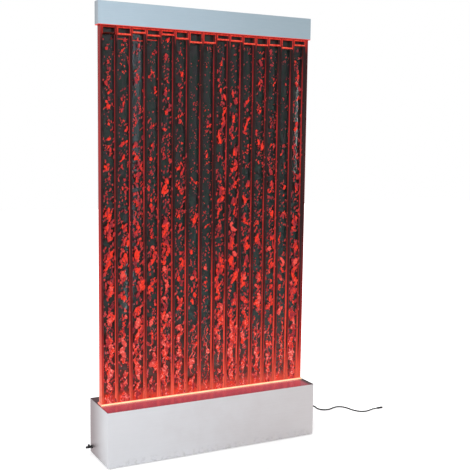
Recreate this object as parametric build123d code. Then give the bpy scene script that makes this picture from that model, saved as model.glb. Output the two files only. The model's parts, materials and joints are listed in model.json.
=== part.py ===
from build123d import *
import math
import os

# A free-standing bubble wall: a steel base box with the air pumps, a thin water tank of fifteen
# channels that stands in it, and an aluminium cap that lifts off the tank.
# All lengths are in millimetres. X runs along the width, -Y faces the viewer and Z is up.
# The origin is on the floor, under the middle of the base.

# Base box
base_width = 1000
base_depth = 230
base_height = 242
foot_gap = 4
steel = 1.5
fold_radius = 2
flange = 15
tray_lip = 20
slip = 0.3
running_gap = 0.05
overrun = 2

# Water tank
tank_inset = 10
tank_bottom = 112
tank_height = 1772
tank_setback = 5
front_sheet = 5
back_sheet = 5
channel_depth = 27
channel_count = 15
divider = 5
side_strip = 10
floor_strip = 10
link_notch_height = 8
link_notch_depth = 12
deepest_window = 52
level_share = [0.66, 0.68, 0.47, 0.62, 0.46, 0.70, 0.92, 0.88, 0.55, 0.58, 0.74, 0.77, 0.70, 0.87, 0.56]

# Light bead round the foot of the tank
slot_gap = 2
bead_width = 4
bead_height = 6

# Cap
cap_sheet = 1.5
cap_clearance = 2
cap_overhang = 10
cap_overlap = 69
cap_height = 95
cap_pad_length = 60
cap_pad_count = 3

# Cradle under the tank, its stands and the lights in it
cradle_wall = 3
cradle_floor = 4
cradle_height = 60
cradle_play = 0.5
rest_strip = 3
tape_width = 7
tape_thickness = 0.4
tape_lead_inset = 20
chip_size = 5
chip_height = 1.5
chip_count = 30
stand_pitch_shares = [1.5, 4.5]
stand_width = 44
stand_foot_depth = 60
stand_plate = 4
stand_web = 5
stand_bolt_offset = 14
bolt_radius = 3
bolt_head_radius = 5
bolt_head = 2.5
nut_height = 2.4

# Rubber feet and sheet-metal screws
foot_radius = 15
foot_stem_radius = 4
foot_knob_radius = 5.5
foot_knob = 3
foot_inset_x = 60
foot_middle_x = 130
foot_inset_y = 34
screw_radius = 2
screw_head_radius = 4
screw_head = 2
screw_length = 8
screw_inset = 88

# Bubble nozzles and their hoses
nozzle_head_radius = 7
nozzle_head = 4
nozzle_radius = 4
nozzle_bore = 1
nozzle_drop = 20
nozzle_hole_radius = 6.5
barb_length = 14
hose_radius = 4
hose_bore = 2.5
hose_bend = 25

# Air manifold
manifold_radius = 12
manifold_bore = 10
manifold_inset_x = 20
manifold_inset_y = 45
manifold_z = 45
manifold_cap = 6
clip_pitch_shares = [2.5, 5.5]
clip_width = 20
clip_wall = 3

# Air pumps, one on each side of the middle, behind the tank
pump_pitch_share = 3.5
pump_width = 120
pump_front_gap = 2
pump_rear_gap = 10.5
pump_height = 64
pump_wall = 2.5
pump_plate = 4
pump_foot_radius = 6
pump_foot = 8
pump_foot_inset = 12
pump_corner = 8
chamber_width = 40
chamber_gap = 6.5
chamber_height = 34
coil_width = 28
coil_gap = 7.5
coil_height = 30
coil_offset = 38
dial_radius = 11
dial_height = 8
dial_stem_radius = 3
dial_offset = 30
dial_ribs = 12
dial_rib_radius = 1.2
feed_radius = 6
feed_bore = 4
valve_radius = 9
valve_length = 20

# Drain: an outlet in the tank's floor, a hose and a cock through the left side
drain_channel = 1
drain_offset = 18
drain_head_radius = 8
drain_radius = 5
drain_hole_radius = 8.5
drain_hose_radius = 6
drain_hose_bore = 4
cock_inset_y = 20
cock_z = 30
cock_radius = 5.5
spigot_radius = 5
spigot_length = 7.5
cock_reach = 27
cock_bore = 3
cock_flange_radius = 8
cock_flange = 3
cock_inner = 26
locknut_radius = 9
locknut = 4
lever_stem_radius = 2
lever_stem = 3
lever_offset = 14
lever_length = 15
lever_width = 8
lever_height = 4

# Switch and cable gland on the rear panel
switch_inset_x = 170
switch_z = 150
switch_width = 15
switch_height = 30
switch_bezel = 2
switch_body = 22
switch_wall = 1.8
tab_thickness = 0.8
tab_length = 7
rocker_width = 9.4
rocker_height = 22
rocker_depth = 8
rocker_play = 1.2
rocker_tilt = 8
trunnion_radius = 1.5
gland_inset_x = 100
gland_z = 45
gland_radius = 8
gland_flange_radius = 12
gland_flange = 5
gland_nut = 5
gland_inner = 14
boot_length = 42
boot_wide = 8
vent_count = 9
vent_pitch = 8
vent_width = 3
vent_height = 60
vent_z = 120

# Light controller and terminal block
controller_width = 100
controller_inset = 3
controller_height = 26
controller_wall = 2
board_thickness = 1.6
board_raise = 4
terminal_width = 60
terminal_depth = 24
terminal_height = 20
terminal_count = 5
wire_radius = 1.5
wire_bend = 12

# Free lead: its size, coil, plug and ties
cord_radius = 3.25
arc_share = 0.45
coil_start = 44
coil_pitch = 8.4
layer_rise = 7.1
coil_half_turns = 7
tie_thickness = 1.2
tie_width = 12
tie_slack = 0.4
grip_radius = 5
grip_length = 30
grip_neck = 6
plug_radius = 2.75
plug_bore = 1.05
plug_length = 9.5

# Heights and half sizes that follow from the above
half_width = base_width / 2
half_depth = base_depth / 2
shell_top = base_height - steel
tray_top = foot_gap + 2 * steel
tank_width = base_width - 2 * tank_inset
half_tank = tank_width / 2
tank_top = tank_bottom + tank_height
tank_depth = front_sheet + channel_depth + back_sheet
tank_front = tank_setback - tank_depth / 2
tank_back = tank_setback + tank_depth / 2
water_front = tank_front + front_sheet
water_back = tank_back - back_sheet
water_y = (water_front + water_back) / 2
water_floor = tank_bottom + floor_strip
inner_width = tank_width - 2 * side_strip
channel = (inner_width - (channel_count - 1) * divider) / channel_count
pitch = channel + divider
cradle_top_of_floor = tank_bottom - rest_strip
cradle_bottom = cradle_top_of_floor - cradle_floor
panel_inside = half_depth - steel
flange_inside = half_depth - 2 * steel
cap_width = tank_width + 2 * cap_overhang
cap_inner_depth = tank_depth + 2 * cap_clearance
cap_bottom = tank_top - cap_overlap
cap_top = cap_bottom + cap_height
manifold_length = tank_width - 2 * manifold_inset_x
manifold_y = manifold_inset_y - half_depth
pump_front = tank_setback + stand_foot_depth / 2 + pump_front_gap
pump_back = panel_inside - pump_rear_gap
pump_depth = pump_back - pump_front
pump_y = (pump_front + pump_back) / 2
pump_room = pump_depth - 2 * pump_wall
chamber_depth = pump_room - 2 * chamber_gap
coil_depth = pump_room - 2 * coil_gap - coil_width / 2
controller_depth = pump_depth - 2 * controller_inset
cock_y = half_depth - cock_inset_y
switch_x = half_width - switch_inset_x
gland_x = half_width - gland_inset_x


def block(x, y, z):
    """A box between two limits on each axis."""
    size = [max(limits) - min(limits) for limits in (x, y, z)]
    middle = [(max(limits) + min(limits)) / 2 for limits in (x, y, z)]
    return Pos(*middle) * Box(*size)


def about(middle, size):
    """The two limits of a length centred on a place."""
    return (middle - size / 2, middle + size / 2)


def rod_x(x, y, z, radius):
    return Pos(sum(x) / 2, y, z) * Rot(Y=90) * Cylinder(radius, max(x) - min(x))


def rod_y(x, y, z, radius):
    return Pos(x, sum(y) / 2, z) * Rot(X=90) * Cylinder(radius, max(y) - min(y))


def rod_z(x, y, z, radius):
    return Pos(x, y, sum(z) / 2) * Cylinder(radius, max(z) - min(z))


def save(name, *solids):
    """Write one piece, or a group of like pieces, as one file."""
    shape = solids[0] if len(solids) == 1 else Compound(children=list(solids))
    export_step(shape, f"parts/{name}.step")


def channel_centre(index):
    return -inner_width / 2 + channel / 2 + index * pitch


channel_centres = [channel_centre(index) for index in range(channel_count)]
stand_centres = [side * share * pitch for share in stand_pitch_shares for side in (-1, 1)]
clip_centres = [side * share * pitch for share in clip_pitch_shares for side in (-1, 1)]
pump_centres = [side * pump_pitch_share * pitch for side in (-1, 1)]
drain_x = channel_centres[drain_channel] - drain_offset
outer_screw_x = half_width - steel - flange / 2
panel_screw_places = [(side * x, z)
                      for x in (outer_screw_x, outer_screw_x - 2 * screw_inset)
                      for z in (tray_top + flange / 2 - steel, shell_top - steel - flange / 2)
                      for side in (-1, 1)]
tray_screw_places = [(side * x, front * (half_depth - 2 * steel - flange / 2))
                     for x in (screw_inset, half_width - screw_inset)
                     for side in (-1, 1)
                     for front in (-1, 1)]
foot_places = [(0, 0)] + [(side * x, front * (half_depth - foot_inset_y))
                          for x in (foot_middle_x, half_width - foot_inset_x)
                          for side in (-1, 1)
                          for front in (-1, 1)]


# Base box: a folded shell, a slotted top, a tray below and a rear panel

def base_shell():
    inner_x = half_width - steel
    left_face = -half_width
    shell = block((left_face, half_width), (-half_depth, half_depth), (foot_gap, shell_top))
    front_edges = shell.edges().filter_by(Axis.Z).group_by(Axis.Y)[0]
    shell = fillet(front_edges, fold_radius)
    shell -= block((-inner_x, inner_x), (steel - half_depth, flange_inside),
                   (foot_gap + steel, shell_top - steel))
    shell -= block((-inner_x, inner_x), (panel_inside, half_depth + overrun), (foot_gap, shell_top))
    window_x = inner_x - flange
    window_y = (steel + flange - half_depth, flange_inside - flange)
    shell -= block((-window_x, window_x), window_y, (foot_gap - overrun, shell_top + overrun))
    shell -= block((-window_x, window_x), (flange_inside - overrun, half_depth),
                   (foot_gap + steel + flange, shell_top - steel - flange))
    shell -= block(about(0, tank_width + 2 * slot_gap), about(tank_setback, tank_depth + 2 * slot_gap),
                   (shell_top - steel - overrun, shell_top + overrun))
    shell -= rod_x((left_face - overrun, left_face + steel + overrun), cock_y, cock_z,
                   cock_radius + running_gap)
    for x, z in panel_screw_places:
        shell -= rod_y(x, (flange_inside - overrun, half_depth), z, screw_radius + running_gap)
    for x, y in tray_screw_places:
        shell -= rod_z(x, y, (foot_gap - overrun, tray_top), screw_radius + running_gap)
        shell -= rod_z(x, y, (foot_gap - overrun, foot_gap + steel / 2), screw_head_radius + running_gap)
    return shell


def base_top_plate():
    plate = block((-half_width, half_width), (-half_depth, half_depth), (shell_top, base_height))
    plate = fillet(plate.edges().filter_by(Axis.Z), fold_radius)
    slot_x = half_tank + slot_gap
    slot_y = about(tank_setback, tank_depth + 2 * slot_gap)
    plate -= block((-slot_x, slot_x), slot_y, (shell_top - overrun, base_height + overrun))
    return plate


def rear_panel():
    half = half_width - steel - slip
    panel = block((-half, half), (panel_inside, half_depth), (foot_gap + slip, shell_top - slip))
    across = (panel_inside - overrun, half_depth + overrun)
    for x, z in panel_screw_places:
        panel -= rod_y(x, across, z, screw_radius + running_gap)
    panel -= block(about(switch_x, neck_width + slip), across, about(switch_z, neck_height + slip))
    panel -= rod_y(gland_x, across, gland_z, gland_radius + running_gap)
    for pump_x in pump_centres:
        for index in range(vent_count):
            x = pump_x + (index - (vent_count - 1) / 2) * vent_pitch
            slot = block(about(x, vent_width), across, about(vent_z, vent_height))
            panel -= fillet(slot.edges().filter_by(Axis.Y), vent_width * 0.49)
    return panel


def bottom_tray():
    half = half_width - steel - slip
    limits_y = (steel + slip - half_depth, flange_inside - slip)
    tray = block((-half, half), limits_y, (foot_gap + steel, foot_gap + steel + tray_lip))
    tray -= block((steel - half, half - steel), (limits_y[0] + steel, limits_y[1] - steel),
                  (tray_top, foot_gap + steel + tray_lip + overrun))
    for x, z in panel_screw_places:
        notch = screw_head_radius + slip
        tray -= block(about(x, 2 * notch), (limits_y[1] - steel - overrun, half_depth),
                      (z - notch, base_height))
    through = (foot_gap, tray_top + overrun)
    for x, y in tray_screw_places:
        tray -= rod_z(x, y, through, screw_radius + running_gap)
    for x, y in foot_places:
        tray -= rod_z(x, y, through, foot_stem_radius + running_gap)
    for x in stand_centres:
        for side in (-1, 1):
            tray -= rod_z(x + side * stand_bolt_offset, tank_setback, through, bolt_radius + running_gap)
    cock_room = locknut_radius + slip
    tray -= block((-half - overrun, steel + overrun - half), about(cock_y, 2 * cock_room),
                  (cock_z - cock_room, base_height))
    return tray


def rubber_foot(x, y):
    pad_top = foot_gap + steel
    pad = rod_z(x, y, (0, pad_top), foot_radius)
    pad = chamfer(pad.edges().group_by(Axis.Z)[0], foot_gap / 4)
    stem = rod_z(x, y, (pad_top, tray_top), foot_stem_radius)
    knob = Pos(x, y, tray_top + foot_knob / 2) * Cone(foot_knob_radius, foot_stem_radius, foot_knob)
    return pad + stem + knob


def panel_screw(x, z):
    head = rod_y(x, (half_depth, half_depth + screw_head), z, screw_head_radius)
    head = fillet(head.edges().group_by(Axis.Y)[-1], screw_head / 2)
    recess = Pos(x, half_depth + screw_head, z) * Box(screw_head_radius, screw_head, screw_head / 3)
    cross = Pos(x, half_depth + screw_head, z) * Box(screw_head / 3, screw_head, screw_head_radius)
    return head + rod_y(x, (half_depth - screw_length, half_depth), z, screw_radius) - recess - cross


def tray_screw(x, y):
    head = rod_z(x, y, (foot_gap, foot_gap + steel / 2), screw_head_radius)
    slot = block(about(x, 2 * screw_head_radius), about(y, steel / 2),
                 (foot_gap - overrun, foot_gap + steel / 4))
    return head + rod_z(x, y, (foot_gap, foot_gap + screw_length), screw_radius) - slot


# Cradle: the channel that carries the tank, on four stands

def tank_cradle():
    outer = about(tank_setback, tank_depth + 2 * (cradle_play + cradle_wall))
    inner = about(tank_setback, tank_depth + 2 * cradle_play)
    top = cradle_bottom + cradle_height
    cradle = block((-half_tank, half_tank), outer, (cradle_bottom, top))
    cradle -= block((-half_tank - overrun, half_tank + overrun), inner, (cradle_top_of_floor, top + overrun))
    through = (cradle_bottom - overrun, cradle_top_of_floor + overrun)
    for x in channel_centres:
        cradle -= rod_z(x, water_y, through, nozzle_hole_radius)
    cradle -= rod_z(drain_x, water_y, through, drain_hole_radius)
    for y in tape_middles():
        cradle -= rod_z(half_tank - tape_lead_inset, y, through, wire_radius + running_gap)
    for x in stand_centres:
        for side in (-1, 1):
            cradle -= rod_z(x + side * stand_bolt_offset, tank_setback, through, bolt_radius + running_gap)
    return cradle


def rest_strips():
    """Two rubber strips under the edges of the front and back sheets."""
    heights = (cradle_top_of_floor, tank_bottom)
    return [block((-half_tank, half_tank), (tank_front, water_front), heights),
            block((-half_tank, half_tank), (water_back, tank_back), heights)]


def tape_middles():
    gap = (nozzle_radius + drain_radius) / 2
    reach = (channel_depth / 2 + gap) / 2
    return [water_y - reach, water_y + reach]


def light_tapes():
    heights = (cradle_top_of_floor, cradle_top_of_floor + tape_thickness)
    return [block((-half_tank, half_tank), about(y, tape_width), heights) for y in tape_middles()]


def light_chips():
    low = cradle_top_of_floor + tape_thickness
    step = tank_width / chip_count
    places = [step * (index + 1 / 2) - half_tank for index in range(chip_count)]
    return [block(about(x, chip_size), about(y, chip_size), (low, low + chip_height))
            for y in tape_middles() for x in places]


def cradle_stand(x):
    foot_top = tray_top + stand_plate
    head_bottom = cradle_bottom - stand_plate
    stand = block(about(x, stand_width), about(tank_setback, stand_foot_depth), (tray_top, foot_top))
    stand += block(about(x, stand_width), about(tank_setback, stand_width), (head_bottom, cradle_bottom))
    stand += block(about(x, stand_web), about(tank_setback, stand_width), (foot_top, head_bottom))
    for side in (-1, 1):
        bolt_x = x + side * stand_bolt_offset
        stand -= rod_z(bolt_x, tank_setback, (foot_gap, tank_bottom), bolt_radius + running_gap)
    return stand


def bolt_and_nut(x, y, seat, grip):
    """A bolt whose head stands on seat, with a hexagon nut at the far side of the grip."""
    bolt = rod_z(x, y, (seat, seat + bolt_head), bolt_head_radius)
    bolt += rod_z(x, y, (seat - grip - nut_height, seat), bolt_radius)
    bolt -= Pos(x, y, seat + bolt_head) * extrude(RegularPolygon(bolt_radius / 2, 6), -bolt_head / 2)
    nut = Pos(x, y, seat - grip - nut_height) * extrude(RegularPolygon(bolt_head_radius, 6), nut_height)
    return bolt + nut


def bolts(seat, grip):
    return [bolt_and_nut(x + side * stand_bolt_offset, tank_setback, seat, grip)
            for x in stand_centres for side in (-1, 1)]


# Tank: two sheets, side strips and dividers on a floor strip with a nozzle for each channel

def tank_floor():
    strip = block((-half_tank, half_tank), (water_front, water_back), (tank_bottom, water_floor))
    through = (tank_bottom - overrun, water_floor + overrun)
    recess = (water_floor - nozzle_head, water_floor + overrun)
    for x in channel_centres:
        strip -= rod_z(x, water_y, through, nozzle_radius + running_gap)
        strip -= rod_z(x, water_y, recess, nozzle_head_radius + running_gap)
    strip -= rod_z(drain_x, water_y, through, drain_radius + running_gap)
    strip -= rod_z(drain_x, water_y, recess, drain_head_radius + running_gap)
    return strip


def tank_sheet(front, back):
    return block((-half_tank, half_tank), (front, back), (tank_bottom, tank_top))


def side_strips():
    return [block((side * half_tank, side * (half_tank - side_strip)), (water_front, water_back),
                  (water_floor, tank_top)) for side in (-1, 1)]


def channel_divider(index):
    x = channel_centres[index] + pitch / 2
    strip = block(about(x, divider), (water_front, water_back), (water_floor, tank_top))
    notch = block(about(x, divider + overrun), about(water_y, link_notch_depth),
                  (water_floor - overrun, water_floor + link_notch_height))
    return strip - notch


def water_column(index):
    level = cap_bottom - deepest_window * level_share[index]
    return block(about(channel_centres[index], channel), (water_front, water_back), (water_floor, level))


def threaded_outlet(x, head_radius, barrel_radius, barb_radius, bore):
    """A flanged outlet let into the tank's floor, with a barb below for its hose."""
    barb_top = tank_bottom - nozzle_drop + barb_length
    outlet = rod_z(x, water_y, (water_floor - nozzle_head, water_floor), head_radius)
    outlet += rod_z(x, water_y, (barb_top, water_floor - nozzle_head), barrel_radius)
    outlet += rod_z(x, water_y, (tank_bottom - nozzle_drop, barb_top), barb_radius)
    return outlet - rod_z(x, water_y, (tank_bottom - nozzle_drop - overrun, water_floor + overrun), bore)


def light_bead():
    inner_x = half_tank + slip
    inner_y = tank_depth / 2 + slip
    heights = (base_height, base_height + bead_height)
    bead = block((-inner_x - bead_width, inner_x + bead_width),
                 about(tank_setback, 2 * (inner_y + bead_width)), heights)
    bead = fillet(bead.edges().group_by(Axis.Z)[-1], bead_width / 4)
    return bead - block((-inner_x, inner_x), about(tank_setback, 2 * inner_y),
                        (base_height - overrun, base_height + bead_height + overrun))


# Cap: a folded channel, two end plates and the rubber pads that rest on the tank

def cap_channel():
    half = cap_width / 2
    body = block((-half, half), about(tank_setback, cap_inner_depth + 2 * cap_sheet), (cap_bottom, cap_top))
    body = fillet(body.edges().filter_by(Axis.X).group_by(Axis.Z)[-1], cap_sheet)
    return body - block((-half - overrun, half + overrun), about(tank_setback, cap_inner_depth),
                        (cap_bottom - overrun, cap_top - cap_sheet))


def cap_end(side):
    outer = cap_width / 2
    return block((side * outer, side * (outer - cap_sheet)), about(tank_setback, cap_inner_depth),
                 (cap_bottom, cap_top - cap_sheet))


def cap_pad(index):
    step = inner_width / cap_pad_count
    x = (index - (cap_pad_count - 1) / 2) * step
    return block(about(x, cap_pad_length), about(tank_setback, cap_inner_depth),
                 (tank_top, cap_top - cap_sheet))


# Air: pumps, feed hoses with check valves, a manifold and a hose to each nozzle

def pump_cover(x):
    low = tray_top + pump_foot + pump_plate
    cover = block(about(x, pump_width), about(pump_y, pump_depth), (low, low + pump_height))
    cover = fillet(cover.edges().filter_by(Axis.Z), pump_corner)
    cover = fillet(cover.edges().group_by(Axis.Z)[-1], pump_corner / 2)
    hollow = block(about(x, pump_width - 2 * pump_wall), about(pump_y, pump_depth - 2 * pump_wall),
                   (low - overrun, low + pump_height - pump_wall))
    cover -= fillet(hollow.edges().filter_by(Axis.Z), pump_corner - pump_wall)
    dial_x = x + dial_offset
    cover -= rod_z(dial_x, pump_y, (low, low + pump_height + overrun), dial_stem_radius + running_gap)
    cover -= rod_y(x, (pump_y - pump_depth, pump_y), manifold_z, feed_bore + running_gap)
    return cover


def pump_base(x):
    low = tray_top + pump_foot
    plate = block(about(x, pump_width), about(pump_y, pump_depth), (low, low + pump_plate))
    return fillet(plate.edges().filter_by(Axis.Z), pump_corner)


def pump_feet():
    reach_x = pump_width / 2 - pump_foot_inset
    reach_y = pump_depth / 2 - pump_foot_inset
    heights = (tray_top, tray_top + pump_foot)
    return [rod_z(x + side * reach_x, pump_y + front * reach_y, heights, pump_foot_radius)
            for x in pump_centres for side in (-1, 1) for front in (-1, 1)]


def air_chamber(x):
    low = tray_top + pump_foot + pump_plate
    chamber = block(about(x, chamber_width), about(pump_y, chamber_depth), (low, low + chamber_height))
    chamber = fillet(chamber.edges().filter_by(Axis.Z), pump_wall)
    outlet = (pump_front - barb_length, pump_y - chamber_depth / 2)
    chamber += rod_y(x, outlet, manifold_z, feed_bore - running_gap)
    return chamber - rod_y(x, (outlet[0] - overrun, pump_y), manifold_z, feed_bore / 2)


def magnet_coil(x):
    low = tray_top + pump_foot + pump_plate
    middle = x - coil_offset
    core = block(about(middle, coil_width / 2), about(pump_y, coil_depth + coil_width / 2),
                 (low, low + coil_height / 2))
    winding = block(about(middle, coil_width), about(pump_y, coil_depth), (low, low + coil_height))
    return fillet(winding.edges().filter_by(Axis.Y), coil_width / 6) + core


def pump_dial(x):
    low = tray_top + pump_foot + pump_plate + pump_height
    middle = x + dial_offset
    knob = rod_z(middle, pump_y, (low + slip, low + slip + dial_height), dial_radius)
    knob = fillet(knob.edges().group_by(Axis.Z)[-1], dial_height / 6)
    for index in range(dial_ribs):
        angle = index * 2 * math.pi / dial_ribs
        groove_x = middle + dial_radius * math.cos(angle)
        groove_y = pump_y + dial_radius * math.sin(angle)
        knob -= rod_z(groove_x, groove_y, (low, low + slip + dial_height + overrun), dial_rib_radius)
    marker = block(about(middle, dial_rib_radius), (pump_y, pump_y + dial_radius * 0.8),
                   (low + slip + dial_height - dial_rib_radius / 2, low + slip + dial_height + overrun))
    return knob - marker + rod_z(middle, pump_y, (low - dial_height, low + slip), dial_stem_radius)


def air_manifold():
    half = manifold_length / 2
    tube = rod_x((-half, half), manifold_y, manifold_z, manifold_radius)
    tube -= rod_x((manifold_cap - half, half - manifold_cap), manifold_y, manifold_z, manifold_bore)
    barb_end = manifold_y + manifold_radius + barb_length
    for places, outside, bore in ((channel_centres, hose_bore - running_gap, nozzle_bore),
                                  (pump_centres, feed_bore - running_gap, feed_bore / 2)):
        for x in places:
            tube += rod_y(x, (manifold_y + manifold_bore, barb_end), manifold_z, outside)
            tube -= rod_y(x, (manifold_y, barb_end + overrun), manifold_z, bore)
    return tube


def manifold_clip(x):
    outer = manifold_radius + clip_wall
    post = block(about(x, clip_width), about(manifold_y, 2 * outer), (tray_top, manifold_z))
    clip = post + rod_x(about(x, clip_width), manifold_y, manifold_z, outer)
    return clip - rod_x(about(x, clip_width + overrun), manifold_y, manifold_z, manifold_radius + running_gap)


def nozzle_hose(x):
    """From the manifold's barb back under the tank and up onto the nozzle's barb."""
    start = Vector(x, manifold_y + manifold_radius + slip, manifold_z)
    corner = Vector(x, water_y, manifold_z)
    end = Vector(x, water_y, tank_bottom - nozzle_drop + barb_length)
    path = FilletPolyline(start, corner, end, radius=hose_bend)
    wall = Circle(hose_radius) - Circle(hose_bore)
    return sweep(Plane(origin=start, z_dir=path % 0) * wall, path=path)


valve_y = (manifold_y + manifold_radius + pump_front) / 2


def feed_hoses():
    pieces = []
    for x in pump_centres:
        for limits in ((valve_y + valve_length / 2, pump_front - slip),
                       (manifold_y + manifold_radius + slip, valve_y - valve_length / 2)):
            pieces.append(rod_y(x, limits, manifold_z, feed_radius)
                          - rod_y(x, (limits[0] - overrun, limits[1] + overrun), manifold_z, feed_bore))
    return pieces


def check_valve(x):
    body = rod_y(x, about(valve_y, valve_length), manifold_z, valve_radius)
    body = chamfer(body.edges().filter_by(GeomType.CIRCLE), valve_radius / 6)
    barbs = about(valve_y, valve_length + barb_length)
    body += rod_y(x, barbs, manifold_z, feed_bore - running_gap)
    return body - rod_y(x, (barbs[0] - overrun, barbs[1] + overrun), manifold_z, feed_bore / 2)


# Drain: the cock, its lever, locknut and hose

cock_end = -half_width - cock_reach
cock_inner_end = cock_inner - half_width
lever_x = -half_width - lever_offset
boss_top = cock_z + cock_radius + lever_stem / 2


def drain_cock():
    spigot_root = cock_end + spigot_length
    spigot = rod_x((cock_end, spigot_root), cock_y, cock_z, spigot_radius)
    spigot = chamfer(spigot.edges().filter_by(GeomType.CIRCLE).group_by(Axis.X)[0], spigot_radius / 8)
    body = spigot + rod_x((spigot_root, cock_inner_end), cock_y, cock_z, cock_radius)
    body += rod_x((-half_width - cock_flange, -half_width), cock_y, cock_z, cock_flange_radius)
    barb_root = cock_inner_end - barb_length
    body -= rod_x((barb_root, cock_inner_end + overrun), cock_y, cock_z, cock_radius + overrun)
    body += rod_x((barb_root, cock_inner_end), cock_y, cock_z, drain_hose_bore - running_gap)
    body += rod_z(lever_x, cock_y, (cock_z, boss_top), lever_stem_radius + lever_stem)
    valve_room = 2 * lever_stem_radius
    body -= rod_x((cock_end - overrun, lever_x - valve_room), cock_y, cock_z, cock_bore)
    body -= rod_x((lever_x + valve_room, cock_inner_end + overrun), cock_y, cock_z, cock_bore)
    return body - rod_z(lever_x, cock_y, (cock_z - lever_stem, boss_top + overrun),
                        lever_stem_radius + running_gap)


def drain_lever():
    low = boss_top + slip
    bar = block(about(lever_x, lever_width), about(cock_y, lever_length), (low, low + lever_height))
    bar = fillet(bar.edges().filter_by(Axis.Z), lever_width / 2 - slip)
    bar = fillet(bar.edges().group_by(Axis.Z)[-1], lever_height / 4)
    return bar + rod_z(lever_x, cock_y, (cock_z - lever_stem + slip, low), lever_stem_radius)


def drain_locknut():
    inner_face = steel - half_width
    nut = Pos(inner_face, cock_y, cock_z) * Rot(Y=90) * extrude(RegularPolygon(locknut_radius, 6), locknut)
    return nut - rod_x((inner_face - overrun, inner_face + locknut + overrun), cock_y, cock_z,
                       cock_radius + running_gap)


def soft_path(points):
    """Straight runs joined by tangent arcs, each as large as its two runs allow."""
    corners = [Vector(*point) for point in points]
    radii = []
    for before, here, after in zip(corners, corners[1:], corners[2:]):
        half_turn = math.radians((here - before).get_angle(after - here)) / 2
        shorter = min((here - before).length, (after - here).length)
        radii.append(arc_share * shorter / math.tan(half_turn))
    return FilletPolyline(*corners, radius=radii), radii


def soft_tube(name, points, radius, bore=0):
    """A hose or lead along its route, with its radii and its volume printed as a test."""
    path, radii = soft_path(points)
    section = Circle(radius) - Circle(bore) if bore else Circle(radius)
    tube = sweep(Plane(origin=path @ 0, z_dir=path % 0) * section, path=path)
    volume_share = tube.volume / (section.area * path.length)
    print(name, "length", round(path.length, 1), "least radius", round(min(radii), 1),
          "volume", round(volume_share, 4))
    return tube


def drain_hose():
    top = tank_bottom - nozzle_drop + barb_length
    half_fall = (top + cock_z) / 2
    end_x = cock_inner_end - barb_length / 2
    points = [(drain_x, water_y, top),
              (drain_x, water_y, half_fall),
              (drain_x, water_y + (cock_y - water_y) / 2, cock_z + drain_hose_radius),
              ((drain_x + end_x) / 2, cock_y, cock_z),
              (end_x - barb_length / 2 + slip, cock_y, cock_z)]
    return soft_tube("drain hose", points, drain_hose_radius, drain_hose_bore)


# Electrics on the rear panel and the tray

rocker_y = half_depth - rocker_depth / 2
rocker_front = half_depth + switch_bezel
neck_width = switch_width - 2 * switch_wall
neck_height = switch_height - 2 * switch_wall


def switch_housing():
    outside_y = (half_depth, rocker_front)
    body = block(about(switch_x, switch_width), outside_y, about(switch_z, switch_height))
    body = fillet(body.edges().filter_by(Axis.Y), switch_wall)
    back_y = half_depth - switch_body
    body += block(about(switch_x, neck_width), (back_y, half_depth), about(switch_z, neck_height))
    room_y = (rocker_y - rocker_depth, rocker_front + overrun)
    body -= block(about(switch_x, rocker_width + 2 * slip), room_y,
                  about(switch_z, rocker_height + 2 * rocker_play))
    body -= rod_x(about(switch_x, neck_width - 2 * slip), rocker_y, switch_z, trunnion_radius + running_gap)
    for side in (-1, 1):
        tab_z = switch_z + side * switch_height / 5
        body += block(about(switch_x, rocker_width / 2), (back_y - tab_length, back_y),
                      about(tab_z, tab_thickness))
    return body


def power_rocker():
    cap = block(about(switch_x, rocker_width), (rocker_y - rocker_depth / 2, rocker_front),
                about(switch_z, rocker_height))
    cap = fillet(cap.edges().filter_by(Axis.X).group_by(Axis.Y)[-1], rocker_depth / 8)
    pins = about(switch_x, neck_width - 2 * (slip + running_gap))
    cap += rod_x(pins, rocker_y, switch_z, trunnion_radius)
    tilt = Pos(switch_x, rocker_y, switch_z) * Rot(X=rocker_tilt) * Pos(-switch_x, -rocker_y, -switch_z)
    return tilt * cap


def cable_gland():
    body = rod_y(gland_x, (panel_inside - gland_inner, half_depth), gland_z, gland_radius)
    collar = Pos(gland_x, half_depth + gland_flange, gland_z) * Rot(X=90) * extrude(
        RegularPolygon(gland_flange_radius, 6), gland_flange)
    return body + collar


def gland_locknut():
    nut = Pos(gland_x, panel_inside, gland_z) * Rot(X=90) * extrude(
        RegularPolygon(gland_flange_radius, 6), gland_nut)
    return nut - rod_y(gland_x, (panel_inside - gland_nut - overrun, panel_inside + overrun), gland_z,
                       gland_radius + running_gap)


boot_start = half_depth + gland_flange
boot_end = boot_start + boot_length


def strain_relief():
    boot = Pos(gland_x, (boot_start + boot_end) / 2, gland_z) * Rot(X=-90) * Cone(
        boot_wide, cord_radius + steel, boot_length)
    for index in range(4):
        y = boot_start + boot_length * (index + 1.5) / 6
        ring = rod_y(gland_x, about(y, steel), gland_z, boot_wide + overrun)
        ring -= rod_y(gland_x, about(y, steel + overrun), gland_z, cord_radius + steel / 2)
        boot -= ring
    return boot


terminal_x = gland_x
terminal_z = tray_top + terminal_height


def terminal_block():
    body = block(about(terminal_x, terminal_width), about(water_y, terminal_depth), (tray_top, terminal_z))
    step = terminal_width / terminal_count
    for index in range(terminal_count):
        x = terminal_x + (index - (terminal_count - 1) / 2) * step
        body -= rod_z(x, water_y, (terminal_z - screw_head, terminal_z + overrun), screw_head_radius)
    return body


def controller_case():
    top = tray_top + controller_height
    outer = block(about(0, controller_width), about(pump_y, controller_depth), (tray_top, top))
    outer = fillet(outer.edges().filter_by(Axis.Z), controller_wall)
    return outer - block(about(0, controller_width - 2 * controller_wall),
                         about(pump_y, controller_depth - 2 * controller_wall),
                         (tray_top + controller_wall, top + overrun))


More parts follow.
